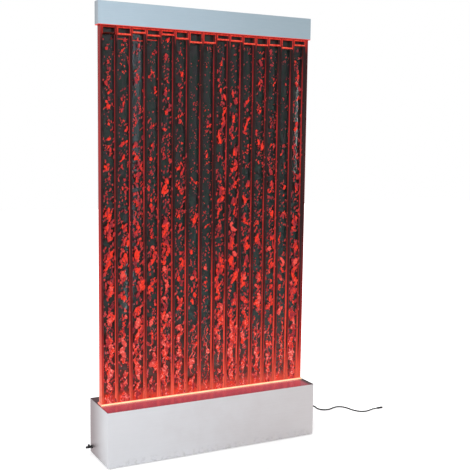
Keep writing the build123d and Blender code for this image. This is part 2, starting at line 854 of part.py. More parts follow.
def controller_lid():
    low = tray_top + controller_height
    lid = block(about(0, controller_width), about(pump_y, controller_depth), (low, low + controller_wall))
    lid = fillet(lid.edges().filter_by(Axis.Z), controller_wall)
    return fillet(lid.edges().group_by(Axis.Z)[-1], controller_wall / 3)


def controller_board():
    low = tray_top + controller_wall + board_raise
    room_x = controller_width - 2 * (controller_wall + slip)
    room_y = controller_depth - 2 * (controller_wall + slip)
    board = block(about(0, room_x), about(pump_y, room_y), (low, low + board_thickness))
    for side in (-1, 1):
        board += block(about(side * room_x / 3, board_raise), about(pump_y, room_y / 2),
                       (tray_top + controller_wall, low))
        board += block(about(side * room_x / 4, room_x / 6), about(pump_y, room_y / 3),
                       (low + board_thickness, low + board_thickness + 2 * board_raise))
    return board


# Free lead: from the boot to a tied coil behind the base, then out along the floor to its plug

coil_centre = (300, 246)
coil_rest = cord_radius + tie_thickness + tie_slack
plug_y = 61
plug_start = 1003

lead_points = [
    (gland_x, boot_end, gland_z),
    (gland_x, 192, 45),
    (399, 220, 40),
    (394, 248, 28),
    (380, 272, 15),
    (356, 287, 7),
    (328, coil_centre[1] + coil_start, coil_rest),
    (coil_centre[0], coil_centre[1] + coil_start, coil_rest),
]
coil_top = coil_rest + layer_rise
run_points = [
    (coil_centre[0], coil_centre[1] - coil_start, coil_top),
    (325, coil_centre[1] - coil_start, coil_top),
    (362, 200, 8.5),
    (410, 198, 4),
    (468, 205, 3.3),
    (530, 230, 3.3),
    (590, 262, 3.3),
    (646, 286, 3.3),
    (694, 284, 3.3),
    (722, 258, 3.3),
    (731, 224, 3.3),
    (721, 191, 3.3),
    (733, 160, 3.3),
    (764, 149, 3.3),
    (798, 163, 3.3),
    (828, 173, 3.3),
    (856, 160, 3.3),
    (869, 128, 3.3),
    (873, 94, 3.3),
    (889, 62, 3.3),
    (920, 46, 3.3),
    (953, 54, 3.8),
    (980, plug_y, grip_radius),
    (plug_start, plug_y, grip_radius),
]


def coil_path():
    """Half turns that close in on the floor, climb in one and open out again on top."""
    half_step = coil_pitch / 2
    climb = coil_half_turns // 2
    reaches = [coil_start - half_step * min(index, climb) for index in range(climb + 1)]
    reaches += [reaches[-1]] + [reaches[-1] + half_step * (index + 1) for index in range(climb)]
    edges = []
    middle = Vector(coil_centre[0], coil_centre[1], 0)
    for index in range(coil_half_turns):
        side = 1 if index % 2 == 0 else -1
        low = coil_rest if index <= climb else coil_top
        high = coil_rest if index < climb else coil_top
        start = middle + Vector(0, side * reaches[index], low)
        end = middle + Vector(0, -side * reaches[index + 1], high)
        heading = Vector(-side, 0, 0)
        radius = (start - end).length / 2
        if low == high:
            edges.append(Edge.make_tangent_arc(start, heading, end))
        else:
            flat = (reaches[index] + reaches[index + 1]) / 2
            bulge = math.sqrt(flat ** 2 + (high - low) ** 2 / 4)
            joint = middle + Vector(-side * bulge, (start.Y + end.Y) / 2 - middle.Y, (low + high) / 2)
            edges.append(Edge.make_tangent_arc(start, heading, joint))
            edges.append(Edge.make_tangent_arc(joint, edges[-1] % 1, end))
    return Wire(edges)


def cord_coil():
    path = coil_path()
    tube = sweep(Plane(origin=path @ 0, z_dir=path % 0) * Circle(cord_radius), path=path)
    section = math.pi * cord_radius ** 2
    print("coil length", round(path.length, 1), "volume", round(tube.volume / (section * path.length), 4))
    print("coil least gap", round(least_gap(path), 2))
    return tube


def least_gap(path):
    """The least distance between two stretches of the coil that aren't neighbours along it."""
    samples = 700
    points = [path @ (index / samples) for index in range(samples + 1)]
    apart = int(samples * 3 * cord_radius / path.length) + 1
    nearest = min((points[first] - points[second]).length
                  for first in range(samples + 1) for second in range(first + apart, samples + 1))
    return nearest - 2 * cord_radius


def cord_tie(side):
    """A band round the turns, on the -X or +X side of the coil."""
    turns = coil_pitch * (coil_half_turns // 2) / 2
    inner = coil_start - turns - coil_pitch / 2 - cord_radius - tie_slack
    outer = coil_start + cord_radius + tie_slack
    heights = (tie_thickness, coil_top + cord_radius + tie_slack)
    limits = [coil_centre[0] + side * inner, coil_centre[0] + side * outer]
    across = about(coil_centre[1], tie_width)
    band = block((limits[0] - side * tie_thickness, limits[1] + side * tie_thickness), across,
                 (0, heights[1] + tie_thickness))
    band = fillet(band.edges().filter_by(Axis.Y), tie_thickness)
    return band - block(limits, about(coil_centre[1], tie_width + overrun), heights)


def plug_grip():
    neck = Pos(plug_start + grip_neck / 2, plug_y, grip_radius) * Rot(Y=90) * Cone(
        cord_radius + slip, grip_radius, grip_neck)
    body = rod_x((plug_start + grip_neck, plug_start + grip_length), plug_y, grip_radius, grip_radius)
    body = fillet(body.edges().filter_by(GeomType.CIRCLE).group_by(Axis.X)[-1], slip)
    for index in range(4):
        x = plug_start + grip_neck + (index + 1) * grip_neck / 2
        ring = rod_x(about(x, grip_neck / 5), plug_y, grip_radius, grip_radius + overrun)
        ring -= rod_x(about(x, grip_neck), plug_y, grip_radius, grip_radius - slip)
        body -= ring
    return neck + body


def plug_barrel():
    limits = (plug_start + grip_length, plug_start + grip_length + plug_length)
    barrel = rod_x(limits, plug_y, grip_radius, plug_radius)
    return barrel - rod_x((limits[0] + overrun, limits[1] + overrun), plug_y, grip_radius, plug_bore)


# Leads inside the base: supply and switch leads, one from each pump and one to each light tape

terminal_side = terminal_x - terminal_width / 2
terminal_back = water_y + terminal_depth / 2
lead_height = terminal_z - 2 * screw_head_radius
pump_end = pump_width / 2
corridor_y = (tank_back + cradle_play + cradle_wall + pump_front) / 2


def supply_lead():
    points = [(gland_x, panel_inside - gland_inner, gland_z),
              (gland_x, pump_y + wire_bend, gland_z),
              (gland_x, terminal_back + 3 * wire_bend, (gland_z + lead_height) / 2),
              (gland_x, terminal_back + wire_bend, lead_height),
              (gland_x, terminal_back, lead_height)]
    return soft_tube("supply lead", points, wire_radius)


def switch_lead(side):
    start_y = half_depth - switch_body - tab_length
    z = switch_z + side * switch_height / 5
    end_x = terminal_x - (3 + side) * terminal_width / terminal_count / 2
    points = [(switch_x, start_y, z),
              (switch_x, start_y - wire_bend, z),
              ((switch_x + end_x) / 2, corridor_y + wire_bend, (z + lead_height) / 2),
              (end_x, terminal_back + 2 * wire_bend, lead_height + wire_bend),
              (end_x, terminal_back + wire_bend, lead_height),
              (end_x, terminal_back, lead_height)]
    return soft_tube("switch lead", points, wire_radius)


def pump_lead(x, end_y):
    start_x = x + pump_end
    start_z = manifold_z
    low = tray_top + wire_radius
    last_stand = max(stand_centres) + stand_width / 2
    points = [(start_x, pump_y + wire_bend, start_z),
              (start_x + wire_bend, pump_y + wire_bend, start_z),
              (start_x + 2 * wire_bend, pump_y, start_z / 2)]
    beside_stands = tank_setback + stand_foot_depth / 2 + wire_radius + slip
    if start_x < last_stand - 2 * stand_width:
        points += [(start_x + 3 * wire_bend, corridor_y + wire_bend, low + wire_bend / 3),
                   (start_x + 5 * wire_bend, beside_stands, low),
                   (last_stand + 1.5 * wire_bend, beside_stands, low)]
    points += [(terminal_side - 2 * wire_bend, (corridor_y + end_y) / 2, lead_height),
               (terminal_side - wire_bend, end_y, lead_height),
               (terminal_side, end_y, lead_height)]
    return soft_tube("pump lead", points, wire_radius)


def light_lead(index):
    """From the controller along the back of the cradle, then up through its floor to a tape."""
    start_x = controller_width / 2
    rise = 2 * wire_bend
    high = manifold_z + feed_radius + wire_bend + index * 3 * wire_radius
    tape_x = half_tank - tape_lead_inset
    tape_y = tape_middles()[index]
    start_y = pump_y - wire_bend - index * 3 * wire_radius
    start_z = tray_top + controller_height / 2
    points = [(start_x, start_y, start_z),
              (start_x + wire_bend, start_y, start_z),
              (start_x + rise, corridor_y, (start_z + high) / 2),
              (start_x + 2 * rise, corridor_y, high),
              (tape_x - 2 * rise, corridor_y, high),
              (tape_x - rise / 2, (corridor_y + tape_y) / 2, high + wire_bend / 3),
              (tape_x, tape_y, cradle_bottom - wire_bend),
              (tape_x, tape_y, cradle_top_of_floor)]
    return soft_tube("light lead", points, wire_radius)


os.makedirs("parts", exist_ok=True)
save("base_shell", base_shell())
save("base_top_plate", base_top_plate())
save("rear_panel", rear_panel())
save("bottom_tray", bottom_tray())
save("rubber_feet", *[rubber_foot(x, y) for x, y in foot_places])
save("rear_panel_screws", *[panel_screw(x, z) for x, z in panel_screw_places])
save("tray_screws", *[tray_screw(x, y) for x, y in tray_screw_places])
save("tank_cradle", tank_cradle())
save("tank_rest_strips", *rest_strips())
save("light_tapes", *light_tapes())
save("light_chips", *light_chips())
save("cradle_stands", *[cradle_stand(x) for x in stand_centres])
save("cradle_bolts", *bolts(cradle_top_of_floor, cradle_floor + stand_plate),
     *bolts(tray_top + stand_plate, stand_plate + steel))
save("tank_floor", tank_floor())
save("tank_front_sheet", tank_sheet(tank_front, water_front))
save("tank_back_sheet", tank_sheet(water_back, tank_back))
save("tank_side_strips", *side_strips())
save("channel_dividers", *[channel_divider(index) for index in range(channel_count - 1)])
save("water_columns", *[water_column(index) for index in range(channel_count)])
save("bubble_nozzles", *[threaded_outlet(x, nozzle_head_radius, nozzle_radius,
                                         hose_bore - running_gap, nozzle_bore) for x in channel_centres])
save("drain_outlet", threaded_outlet(drain_x, drain_head_radius, drain_radius,
                                     drain_hose_bore - running_gap, cock_bore))
save("light_bead", light_bead())
save("cap_channel", cap_channel())
save("cap_ends", cap_end(-1), cap_end(1))
save("cap_pads", *[cap_pad(index) for index in range(cap_pad_count)])
save("pump_covers", *[pump_cover(x) for x in pump_centres])
save("pump_bases", *[pump_base(x) for x in pump_centres])
save("pump_feet", *pump_feet())
save("pump_air_chambers", *[air_chamber(x) for x in pump_centres])
save("pump_magnet_coils", *[magnet_coil(x) for x in pump_centres])
save("pump_dial_left", pump_dial(pump_centres[0]))
save("pump_dial_right", pump_dial(pump_centres[1]))
save("air_manifold", air_manifold())
save("manifold_clips", *[manifold_clip(x) for x in clip_centres])
save("nozzle_hoses", *[nozzle_hose(x) for x in channel_centres])
save("feed_hoses", *feed_hoses())
save("check_valves", *[check_valve(x) for x in pump_centres])
save("drain_cock", drain_cock())
save("drain_lever", drain_lever())
save("drain_locknut", drain_locknut())
save("drain_hose", drain_hose())
save("switch_housing", switch_housing())
save("power_rocker", power_rocker())
save("cable_gland", cable_gland())
save("gland_locknut", gland_locknut())
save("strain_relief", strain_relief())
save("terminal_block", terminal_block())
save("controller_case", controller_case())
save("controller_lid", controller_lid())
save("controller_board", controller_board())
save("supply_leads", supply_lead(), switch_lead(-1), switch_lead(1))
save("pump_leads", *[pump_lead(x, water_y + side * wire_bend / 2)
                     for x, side in zip(pump_centres, (-1, 1))])
save("light_leads", light_lead(0), light_lead(1))
save("cord_lead", soft_tube("cord lead", lead_points, cord_radius))
save("cord_coil", cord_coil())
save("cord_run", soft_tube("cord run", run_points, cord_radius))
save("cord_ties", cord_tie(-1), cord_tie(1))
save("plug_grip", plug_grip())
save("plug_barrel", plug_barrel())
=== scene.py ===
# %% [markdown]
# A bubble wall panel, dressed in Blender
#
# The real object is a thin upright water tank in a steel base box. Air pumps in the base blow
# bubbles up fifteen narrow channels, red lights under the tank's floor shine up through the water,
# and an aluminium cap closes the top.
#
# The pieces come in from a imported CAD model, at their real size and place in metres. This script
# gives them their finishes, and adds what CAD leaves plain: the lead's soft line, the water, the
# bubbles and the light in them. We never move a CAD piece, so everything we add is placed from
# the pieces' own boxes.

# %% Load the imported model
import json
import math

import bmesh
import bpy
from mathutils import Matrix, Vector


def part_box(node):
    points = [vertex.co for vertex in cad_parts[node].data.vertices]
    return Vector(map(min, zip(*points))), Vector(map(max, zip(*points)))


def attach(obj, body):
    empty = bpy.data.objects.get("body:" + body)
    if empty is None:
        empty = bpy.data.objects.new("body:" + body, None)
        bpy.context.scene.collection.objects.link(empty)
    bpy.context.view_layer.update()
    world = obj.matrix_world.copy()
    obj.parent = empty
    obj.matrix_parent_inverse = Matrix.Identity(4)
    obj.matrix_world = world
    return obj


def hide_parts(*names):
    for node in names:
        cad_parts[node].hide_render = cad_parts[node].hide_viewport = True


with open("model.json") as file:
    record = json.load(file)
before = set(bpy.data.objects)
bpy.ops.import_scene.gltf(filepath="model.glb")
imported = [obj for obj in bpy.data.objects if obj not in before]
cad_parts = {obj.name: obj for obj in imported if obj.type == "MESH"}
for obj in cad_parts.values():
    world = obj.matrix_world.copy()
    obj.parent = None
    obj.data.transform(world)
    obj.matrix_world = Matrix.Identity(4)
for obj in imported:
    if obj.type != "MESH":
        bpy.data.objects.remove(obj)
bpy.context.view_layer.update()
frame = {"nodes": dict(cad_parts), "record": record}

nodes = frame["nodes"]
scene = bpy.context.scene


def add_piece(name, data):
    """Puts an object of our own in the scene, at the origin."""
    piece = bpy.data.objects.new(name, data)
    scene.collection.objects.link(piece)
    return piece


print("pieces in the CAD model:", len(nodes))

# %% [markdown]
# The camera comes first, because every later choice is judged through it. A camera in Blender
# looks along its own -Z axis with +Y up, so we build its three axes from the direction of sight:
# how far it turns from straight ahead, how far it looks down and how far it leans. The focal
# length is known in picture points, and the sensor's width turns it into millimetres.

# %% Camera at the photograph's viewpoint
picture_px = 470
focal_px = 848.7
camera_place = Vector((-1.6018, -3.3437, 1.3721))
camera_turn = 0.4796
camera_tip = 0.1142
camera_lean = 0.0135

camera_data = bpy.data.cameras.new("camera")
camera_data.lens = focal_px * camera_data.sensor_width / picture_px
camera = add_piece("camera", camera_data)

sight = Vector((math.sin(camera_turn) * math.cos(camera_tip),
                math.cos(camera_turn) * math.cos(camera_tip),
                -math.sin(camera_tip)))
level_right = Vector((math.cos(camera_turn), -math.sin(camera_turn), 0))
level_up = level_right.cross(sight)
right = level_right * math.cos(camera_lean) + level_up * math.sin(camera_lean)
up = level_up * math.cos(camera_lean) - level_right * math.sin(camera_lean)
camera.matrix_world = Matrix.Translation(camera_place) @ Matrix((right, up, -sight)).transposed().to_4x4()
scene.camera = camera
print("lens in millimetres:", round(camera_data.lens, 1))

# %% [markdown]
# The lead is a low-voltage cord of 6.5 mm. It leaves a strain relief on the rear panel, drops to
# the floor, is wound into a tied coil behind the base and then runs out to its plug. It is one
# NURBS curve with a round bevel, whose control points are the route. Before and after the coil
# they are listed. The coil follows a rule, so a loop works them out: it closes in on the
# floor, climbs once and opens again on top.

# %% The lead's route
cord_radius = 0.00325
cord_rest = 0.0033
coil_middle = Vector((0.300, 0.246, 0))
coil_start = 0.044
coil_pitch = 0.0084
coil_rest = 0.00485
coil_top = 0.01195
coil_half_turns = 7
points_in_half_turn = 8

lead_points = [
    (0.400, 0.162, 0.045), (0.400, 0.192, 0.045), (0.399, 0.220, 0.040), (0.394, 0.248, 0.028),
    (0.380, 0.272, 0.015), (0.356, 0.287, 0.007), (0.328, 0.290, coil_rest),
]
floor_points = [
    (0.468, 0.205), (0.530, 0.230), (0.590, 0.262), (0.646, 0.286), (0.694, 0.284), (0.722, 0.258),
    (0.731, 0.224), (0.721, 0.191), (0.733, 0.160), (0.764, 0.149), (0.798, 0.163), (0.828, 0.173),
    (0.856, 0.160), (0.869, 0.128), (0.873, 0.094), (0.889, 0.062), (0.920, 0.046),
]
run_points = [(0.325, 0.202, coil_top), (0.362, 0.200, 0.0085), (0.410, 0.198, 0.004)]
run_points += [(x, y, cord_rest) for x, y in floor_points]
run_points += [(0.953, 0.054, 0.0038), (0.980, 0.061, 0.005), (1.003, 0.061, 0.005)]


def coil_points():
    """The turns of the coil: a reach that shrinks by half a pitch each half turn, then grows."""
    climb = coil_half_turns // 2
    reaches = [coil_start - coil_pitch / 2 * index for index in range(climb + 1)]
    reaches += reaches[::-1]
    points = []
    for half in range(coil_half_turns):
        for step in range(points_in_half_turn):
            share = step / points_in_half_turn
            angle = math.pi * (0.5 + half + share)
            reach = reaches[half] + (reaches[half + 1] - reaches[half]) * share
            rise = 0 if half < climb else 1 if half > climb else share
            height = coil_rest + (coil_top - coil_rest) * rise
            points.append(coil_middle + Vector((reach * math.cos(angle), reach * math.sin(angle), height)))
    points.append(coil_middle + Vector((0, -coil_start, coil_top)))
    return [tuple(point) for point in points]


def make_cord(name, points, radius):
    curve = bpy.data.curves.new(name, "CURVE")
    curve.dimensions = "3D"
    spline = curve.splines.new("NURBS")
    spline.points.add(len(points) - 1)
    for point, place in zip(spline.points, points):
        point.co = (*place, 1)
    spline.order_u = 3
    spline.use_endpoint_u = True
    spline.resolution_u = 6
    curve.bevel_depth = radius
    curve.bevel_resolution = 4
    curve.use_fill_caps = True
    return add_piece(name, curve)


cord = make_cord("power_cord", lead_points + coil_points() + run_points, cord_radius)
print("points on the lead:", len(cord.data.splines[0].points))

# %% [markdown]
# Materials in Blender are trees of nodes. Wiring each Math node by hand is long and hard to read,
# so one small class wraps the output of a node and lets us write arithmetic on it: `1 - mask`
# adds a Math node by itself. Every other node comes from `node()`, which takes the node's type,
# its settings and what goes into its sockets. The same class serves Geometry Nodes further down.


# %% Arithmetic on nodes
def arithmetic(operation):
    """A method that adds a Math node for its operation."""
    return lambda self, other: self.board.math(operation, self, other)


class Value:
    """One output of a node. Sums and products of it add Math nodes to its tree."""

    def __init__(self, board, socket):
        self.board = board
        self.socket = socket

    def __getitem__(self, name):
        return Value(self.board, self.board.find(self.socket.node.outputs, name))

    def __rsub__(self, other):
        return self.board.math("SUBTRACT", other, self)

    __add__ = arithmetic("ADD")
    __sub__ = arithmetic("SUBTRACT")
    __mul__ = arithmetic("MULTIPLY")
    __truediv__ = arithmetic("DIVIDE")
    __pow__ = arithmetic("POWER")


class Board:
    """A node tree that we write in."""

    def __init__(self, tree):
        self.tree = tree

    def find(self, sockets, key):
        shown = [socket for socket in sockets if socket.enabled]
        if isinstance(key, int):
            return shown[key]
        return next(socket for socket in shown if socket.name == key)

    def node(self, kind, settings=None, sockets=None):
        made = self.tree.nodes.new(kind)
        for key, value in (settings or {}).items():
            setattr(made, key, value)
        for key, value in (sockets or {}).items():
            socket = self.find(made.inputs, key)
            if isinstance(value, Value):
                self.tree.links.new(value.socket, socket)
            else:
                socket.default_value = value
        return Value(self, self.find(made.outputs, 0)) if len(made.outputs) else made

    def math(self, operation, *values):
        return self.node("ShaderNodeMath", {"operation": operation}, dict(enumerate(values)))

    def vector_math(self, operation, *values):
        return self.node("ShaderNodeVectorMath", {"operation": operation}, dict(enumerate(values)))

    def vector(self, **parts):
        """A vector made of its X, Y and Z. One that is left out is 0."""
        return self.node("ShaderNodeCombineXYZ", sockets=parts)

    def split(self, vector):
        return self.node("ShaderNodeSeparateXYZ", sockets={"Vector": vector})

    def step(self, value, low, high, start=0, end=1):
        """A soft step of value, which runs from start to end between low and high."""
        return self.node("ShaderNodeMapRange", {"interpolation_type": "SMOOTHSTEP"}, {
            "Value": value, "From Min": low, "From Max": high, "To Min": start, "To Max": end})["Result"]


# %% [markdown]
# Colours are easiest to pick as they look on a screen, from 0 to 255, but nodes count in light.
# `linear` turns the one into the other. `Paint` is a board for one material, with the few
# mixtures that almost every finish needs: noise at a real scale, a blend of two colours, a ramp
# of several, and a surface that glows.

# %% Materials as short recipes
made_materials = {}


def linear(colour):
    """A screen colour as linear light. The output of a node passes through as it is."""
    if not isinstance(colour, tuple):
        return colour
    parts = [part / 255 for part in colour]
    parts = [part / 12.92 if part <= 0.04045 else ((part + 0.055) / 1.055) ** 2.4 for part in parts]
    return (*parts, 1)


class Paint(Board):
    """One material, written on Object coordinates, which are metres in the CAD model's frame."""

    def __init__(self, name):
        self.name = name
        self.material = bpy.data.materials.new(name + "_finish")
        self.material.use_nodes = True
        super().__init__(self.material.node_tree)
        self.tree.nodes.clear()
        self.place = self.node("ShaderNodeTexCoord")["Object"]
        parts = self.split(self.place)
        self.x, self.y, self.z = parts["X"], parts["Y"], parts["Z"]

    def noise(self, scale, detail=2, stretch=(1, 1, 1), shift=(0, 0, 0)):
        """Noise from 0 to 1. Scale is in features per metre, and stretch thins it along an axis."""
        place = self.node("ShaderNodeMapping", sockets={
            "Vector": self.place, "Scale": stretch, "Location": shift})
        return self.node("ShaderNodeTexNoise", sockets={
            "Vector": place, "Scale": scale, "Detail": detail, "Roughness": 0.6})["Fac"]

    def blend(self, mask, low, high):
        """The colour low where mask is 0, and high where it is 1."""
        return self.node("ShaderNodeMix", {"data_type": "RGBA"}, {
            "Factor": mask, "A": linear(low), "B": linear(high)})

    def ramp(self, value, stops):
        """A colour that runs through stops, each a place from 0 to 1 with its colour."""
        made = self.node("ShaderNodeValToRGB", sockets={"Fac": value})
        elements = made.socket.node.color_ramp.elements
        while len(elements) < len(stops):
            elements.new(1)
        for element, (position, colour) in zip(elements, stops):
            element.position = position
            element.color = linear(colour)
        return made

    def facing(self, axis, low=0.4, high=0.6):
        """1 where the face lies square to an axis, whichever way it points, and 0 where it doesn't."""
        normal = self.node("ShaderNodeNewGeometry")["True Normal"]
        return self.step(self.math("ABSOLUTE", self.split(normal)[axis]), low, high)

    def bump(self, height, depth):
        """A normal bent by a height from 0 to 1, where 1 stands out by depth in metres."""
        return self.node("ShaderNodeBump", sockets={"Height": height, "Distance": depth})

    def principled(self, **sockets):
        names = {key.replace("_", " "): linear(value) for key, value in sockets.items()}
        return self.node("ShaderNodeBsdfPrincipled", sockets=names)

    def glowing(self, colour, strength, **sockets):
        """A Principled surface that gives off a colour, scaled by a strength that may vary."""
        glow = self.vector_math("SCALE", colour, strength)
        return self.principled(Emission_Color=glow, Emission_Strength=1.0, **sockets)

    def mixed(self, share, first, second):
        """The first shader where share is 0, and the second where it is 1."""
        return self.node("ShaderNodeMixShader", sockets={0: share, 1: first, 2: second})

    def finished(self, surface):
        """Ends the recipe. The material is remembered under its name, for a CAD piece its slot."""
        self.node("ShaderNodeOutputMaterial", sockets={"Surface": surface})
        made_materials[self.name] = self.material
        return self.material


print("recipes are ready")

# %% [markdown]
# Most plastics, rubbers and bare metals differ only in numbers: a colour that wanders a little,
# a sheen that is uneven from handling, and a fine surface grain. One recipe takes those numbers.
# Nothing real has one flat colour, so even the hidden pieces get it.


# %% Plain finishes
def plain_finish(slot, colour, other, roughness, grain=900, depth=0.00005, metallic=0.0, blotch=30,
                 stretch=(1, 1, 1)):
    paint = Paint(slot)
    patches = paint.noise(blotch, 3)
    fine = paint.noise(grain, 2, stretch)
    tone = paint.blend(paint.step(patches * 0.7 + fine * 0.3, 0.35, 0.65), colour, other)
    sheen = paint.step(patches, 0.3, 0.7, roughness - 0.06, roughness + 0.06)
    surface = paint.principled(Base_Color=tone, Roughness=sheen, Metallic=metallic,
                               Normal=paint.bump(fine, depth))
    paint.finished(surface)


for recipe in [
    ("galvanised_steel", (172, 176, 180), (140, 146, 152), 0.4, 500, 0.00002, 1.0, 60),
    ("mill_aluminium", (196, 199, 203), (176, 180, 186), 0.38, 400, 0.00003, 1.0, 20, (0.02, 1, 1)),
    ("zinc_screws", (190, 188, 180), (150, 150, 150), 0.32, 1500, 0.00002, 1.0, 200),
    ("black_rubber", (26, 26, 27), (38, 37, 36), 0.72, 1400, 0.00006),
    ("black_plastic", (24, 24, 26), (33, 33, 35), 0.42, 2200, 0.00003),
    ("grey_plastic", (118, 121, 124), (104, 107, 111), 0.48, 2200, 0.00003),
    ("white_plastic", (228, 227, 220), (214, 212, 204), 0.4, 1800, 0.00002),
    ("pump_plastic", (52, 66, 84), (44, 56, 72), 0.45, 1600, 0.00005),
    ("circuit_board", (24, 84, 48), (18, 62, 38), 0.35, 700, 0.00003, 0.0, 240),
    ("copper_winding", (184, 104, 62), (142, 74, 42), 0.3, 3000, 0.00008, 1.0, 80, (1, 0.02, 1)),
    ("light_tape", (236, 234, 228), (222, 218, 208), 0.5, 900, 0.00002),
    ("nickel", (206, 200, 188), (186, 180, 170), 0.2, 1500, 0.00001, 1.0, 300),
    ("clear_silicone", (206, 210, 208), (190, 196, 194), 0.3, 800, 0.00002),
]:
    plain_finish(*recipe)
print("plain finishes:", len(made_materials))

# %% [markdown]
# The cord's jacket is smooth black vinyl. It has a soft sheen, faint dust and very shallow marks
# from the die that it was drawn through.

# %% Cord jacket
paint = Paint("cord_jacket")
dust = paint.noise(160, 4)
marks = paint.noise(2600, 2)
tone = paint.blend(paint.step(dust, 0.45, 0.75), (3, 3, 4), (10, 9, 9))
paint.finished(paint.principled(
    Base_Color=tone, Roughness=paint.step(dust, 0.3, 0.7, 0.45, 0.6), Specular_IOR_Level=0.12,
    Normal=paint.bump(marks, 0.00002)))
print("cord jacket made")

# %% [markdown]
# The base is sheet steel with a satin silver finish. Rolling and brushing leave long fine lines
# along X, and a broad cloudiness that only shows in reflections. Both are noise, stretched for
# the lines and even for the clouds. Handling dulls the base towards its foot. Shade is painted
# into the colour: it darkens from left to right, and the end faces darken towards the rear. The
# cap is the same in aluminium, and the tank's light turns its lower edge red.

# %% Satin metal of the base and the cap
base_low, base_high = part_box("base_shell")


def satin_metal(slot, colour, other, side, roughness, lines=700, clouds=9, foot=None, lit_edge=0.0):
    """Brushed metal with painted shade: it darkens from colour at the left to other at the right, and faces
    towards X darken to side at their rear edge. It glows below lit_edge.
    """
    paint = Paint(slot)
    brushed = paint.noise(lines, 2, (0.015, 1, 1))
    cloudy = paint.noise(clouds, 4)
    speckle = paint.noise(1500, 1)
    # Painted shade: the colour darkens from colour at the left end to other at the right, along a cloudy
    # edge.
    painted_shade_rightward = paint.step(paint.x + (cloudy - 0.5) * 0.5, base_low.x, base_high.x)
    tone = paint.blend(painted_shade_rightward, colour, other)
    tone = paint.blend(paint.step(brushed, 0.3, 0.75) * 0.08, tone, (250, 250, 252))
    # Painted shade: faces towards X, the ends, darken to side towards their rear edge.
    end = paint.facing("X", 0.5, 0.9) * paint.step(paint.y, base_low.y, base_high.y)
    tone = paint.blend(end, tone, side)
    dull = paint.step(cloudy * 0.6 + speckle * 0.4, 0.35, 0.65, roughness - 0.05, roughness + 0.07)
    if foot:
        low, high = foot
        scuffed = paint.step(paint.z, low, high, 1, 0) * paint.step(paint.noise(55, 5), 0.45, 0.7)
        tone = paint.blend(scuffed * 0.3, tone, (150, 148, 146))
        dull = dull + scuffed * 0.12
    caught = paint.step(paint.z, lit_edge, lit_edge + 0.001, 1, 0)
    tone = paint.blend(caught, tone, (96, 22, 20))
    surface = paint.principled(Base_Color=tone, Roughness=dull, Metallic=0.8,
                               Emission_Color=paint.blend(caught, (0, 0, 0), (226, 64, 52)),
                               Emission_Strength=1.0, Normal=paint.bump(brushed, 0.00001))
    paint.finished(surface)


cap_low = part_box("cap_channel")[0]
# Each call gives the left colour, the painted darker shade at the right, the painted shade of the end
# faces, and the roughness.
satin_metal("satin_steel", (227, 228, 232), (213, 208, 209), (165, 152, 155), 0.42,
            foot=(base_low.z, base_low.z + 0.04))
satin_metal("cap_aluminium", (181, 200, 213), (170, 189, 200), (116, 117, 123), 0.34,
            lines=1100, clouds=4, lit_edge=cap_low.z + 0.0025)
print("satin metals made, base from", round(base_low.z, 3), "to", round(base_high.z, 3))

# %% [markdown]
# The light is the object's main effect. Lamps under the floor strip feed red light into the
# clear acrylic from below. It travels up inside the sheets and dividers and leaks out at their
# edges, bright low down and dim near the top. Real light transport through that much clear
# plastic would be slow and grainy, so we write what it does as emission that fades with height.
# The fading is uneven, because scratches and water marks catch the light.

# %% Sizes that the glow follows
plate_low, plate_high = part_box("base_top_plate")
strips_low, strips_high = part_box("tank_side_strips")
front_low, front_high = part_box("tank_front_sheet")
plate_top = plate_high.z
cap_edge = cap_low.z
water_front = front_high.y
water_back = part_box("tank_back_sheet")[0].y
lit_span = cap_edge - plate_top


def lit_height(paint):
    """How far up the lit part a place is: 0 at the top plate and 1 at the cap."""
    return (paint.z - plate_top) / lit_span


print("the lit part is", round(lit_span, 3), "metres high")

# %% Edge-lit acrylic of the dividers, side strips and floor strip
paint = Paint("edge_lit_acrylic")
height = lit_height(paint)
streaks = paint.noise(34, 4, (1, 1, 0.12))
spots = paint.noise(150, 2, (1, 1, 0.35))
uneven = paint.step(streaks * 0.7 + spots * 0.3, 0.36, 0.64, 0.7, 1.2)
# Low down the dividers are equally bright. Further up each has a brightness of its own.
own = paint.step(paint.noise(29, 0, (1, 0, 0.07), (0.37, 0, 0)), 0.38, 0.66, 0.2, 1.3)
apart = paint.step(height, 0.0, 0.35)
own = 1 - apart + apart * own
side = paint.facing("X")
rear = paint.step(paint.y, water_back - 0.011, water_back - 0.007)
outer = paint.step(paint.math("ABSOLUTE", paint.x), strips_high.x - 0.002, strips_high.x - 0.001)
face = paint.ramp(height, [
    (0.0, (232, 92, 76)), (0.05, (236, 80, 68)), (0.16, (232, 72, 60)),
    (0.32, (160, 50, 48)), (0.46, (72, 40, 42)), (0.62, (50, 40, 40)),
    (1.0, (46, 39, 39))])
near = paint.step(paint.y, water_front + 0.010, water_front + 0.015, 1, 0)
near = near * paint.step(height, 0.02, 0.12)
face = paint.blend(near, face, (50, 38, 38))
line = paint.ramp(height, [
    (0.0, (248, 104, 80)), (0.05, (246, 84, 66)), (0.3, (236, 62, 50)),
    (0.6, (196, 46, 44)), (0.9, (166, 38, 42)), (1.0, (90, 32, 34))])
edge = paint.ramp(height, [
    (0.0, (236, 96, 72)), (0.06, (196, 58, 50)), (0.2, (126, 34, 36)),
    (0.45, (58, 34, 36)), (0.8, (48, 36, 36)), (0.96, (46, 30, 32)),
    (1.0, (190, 44, 38))])
wall = paint.ramp(height, [
    (0.0, (255, 130, 104)), (0.1, (232, 80, 66)), (0.3, (206, 44, 36)),
    (0.6, (164, 14, 12)), (1.0, (144, 12, 12))])
inner = paint.blend(rear, face, paint.blend(own, (36, 30, 30), line))
inner = paint.blend(side, edge, inner)
glow = paint.blend(side * outer, inner, wall)
paint.finished(paint.glowing(glow, uneven, Base_Color=(24, 12, 12), Roughness=0.16, IOR=1.1))
print("edge-lit acrylic made")

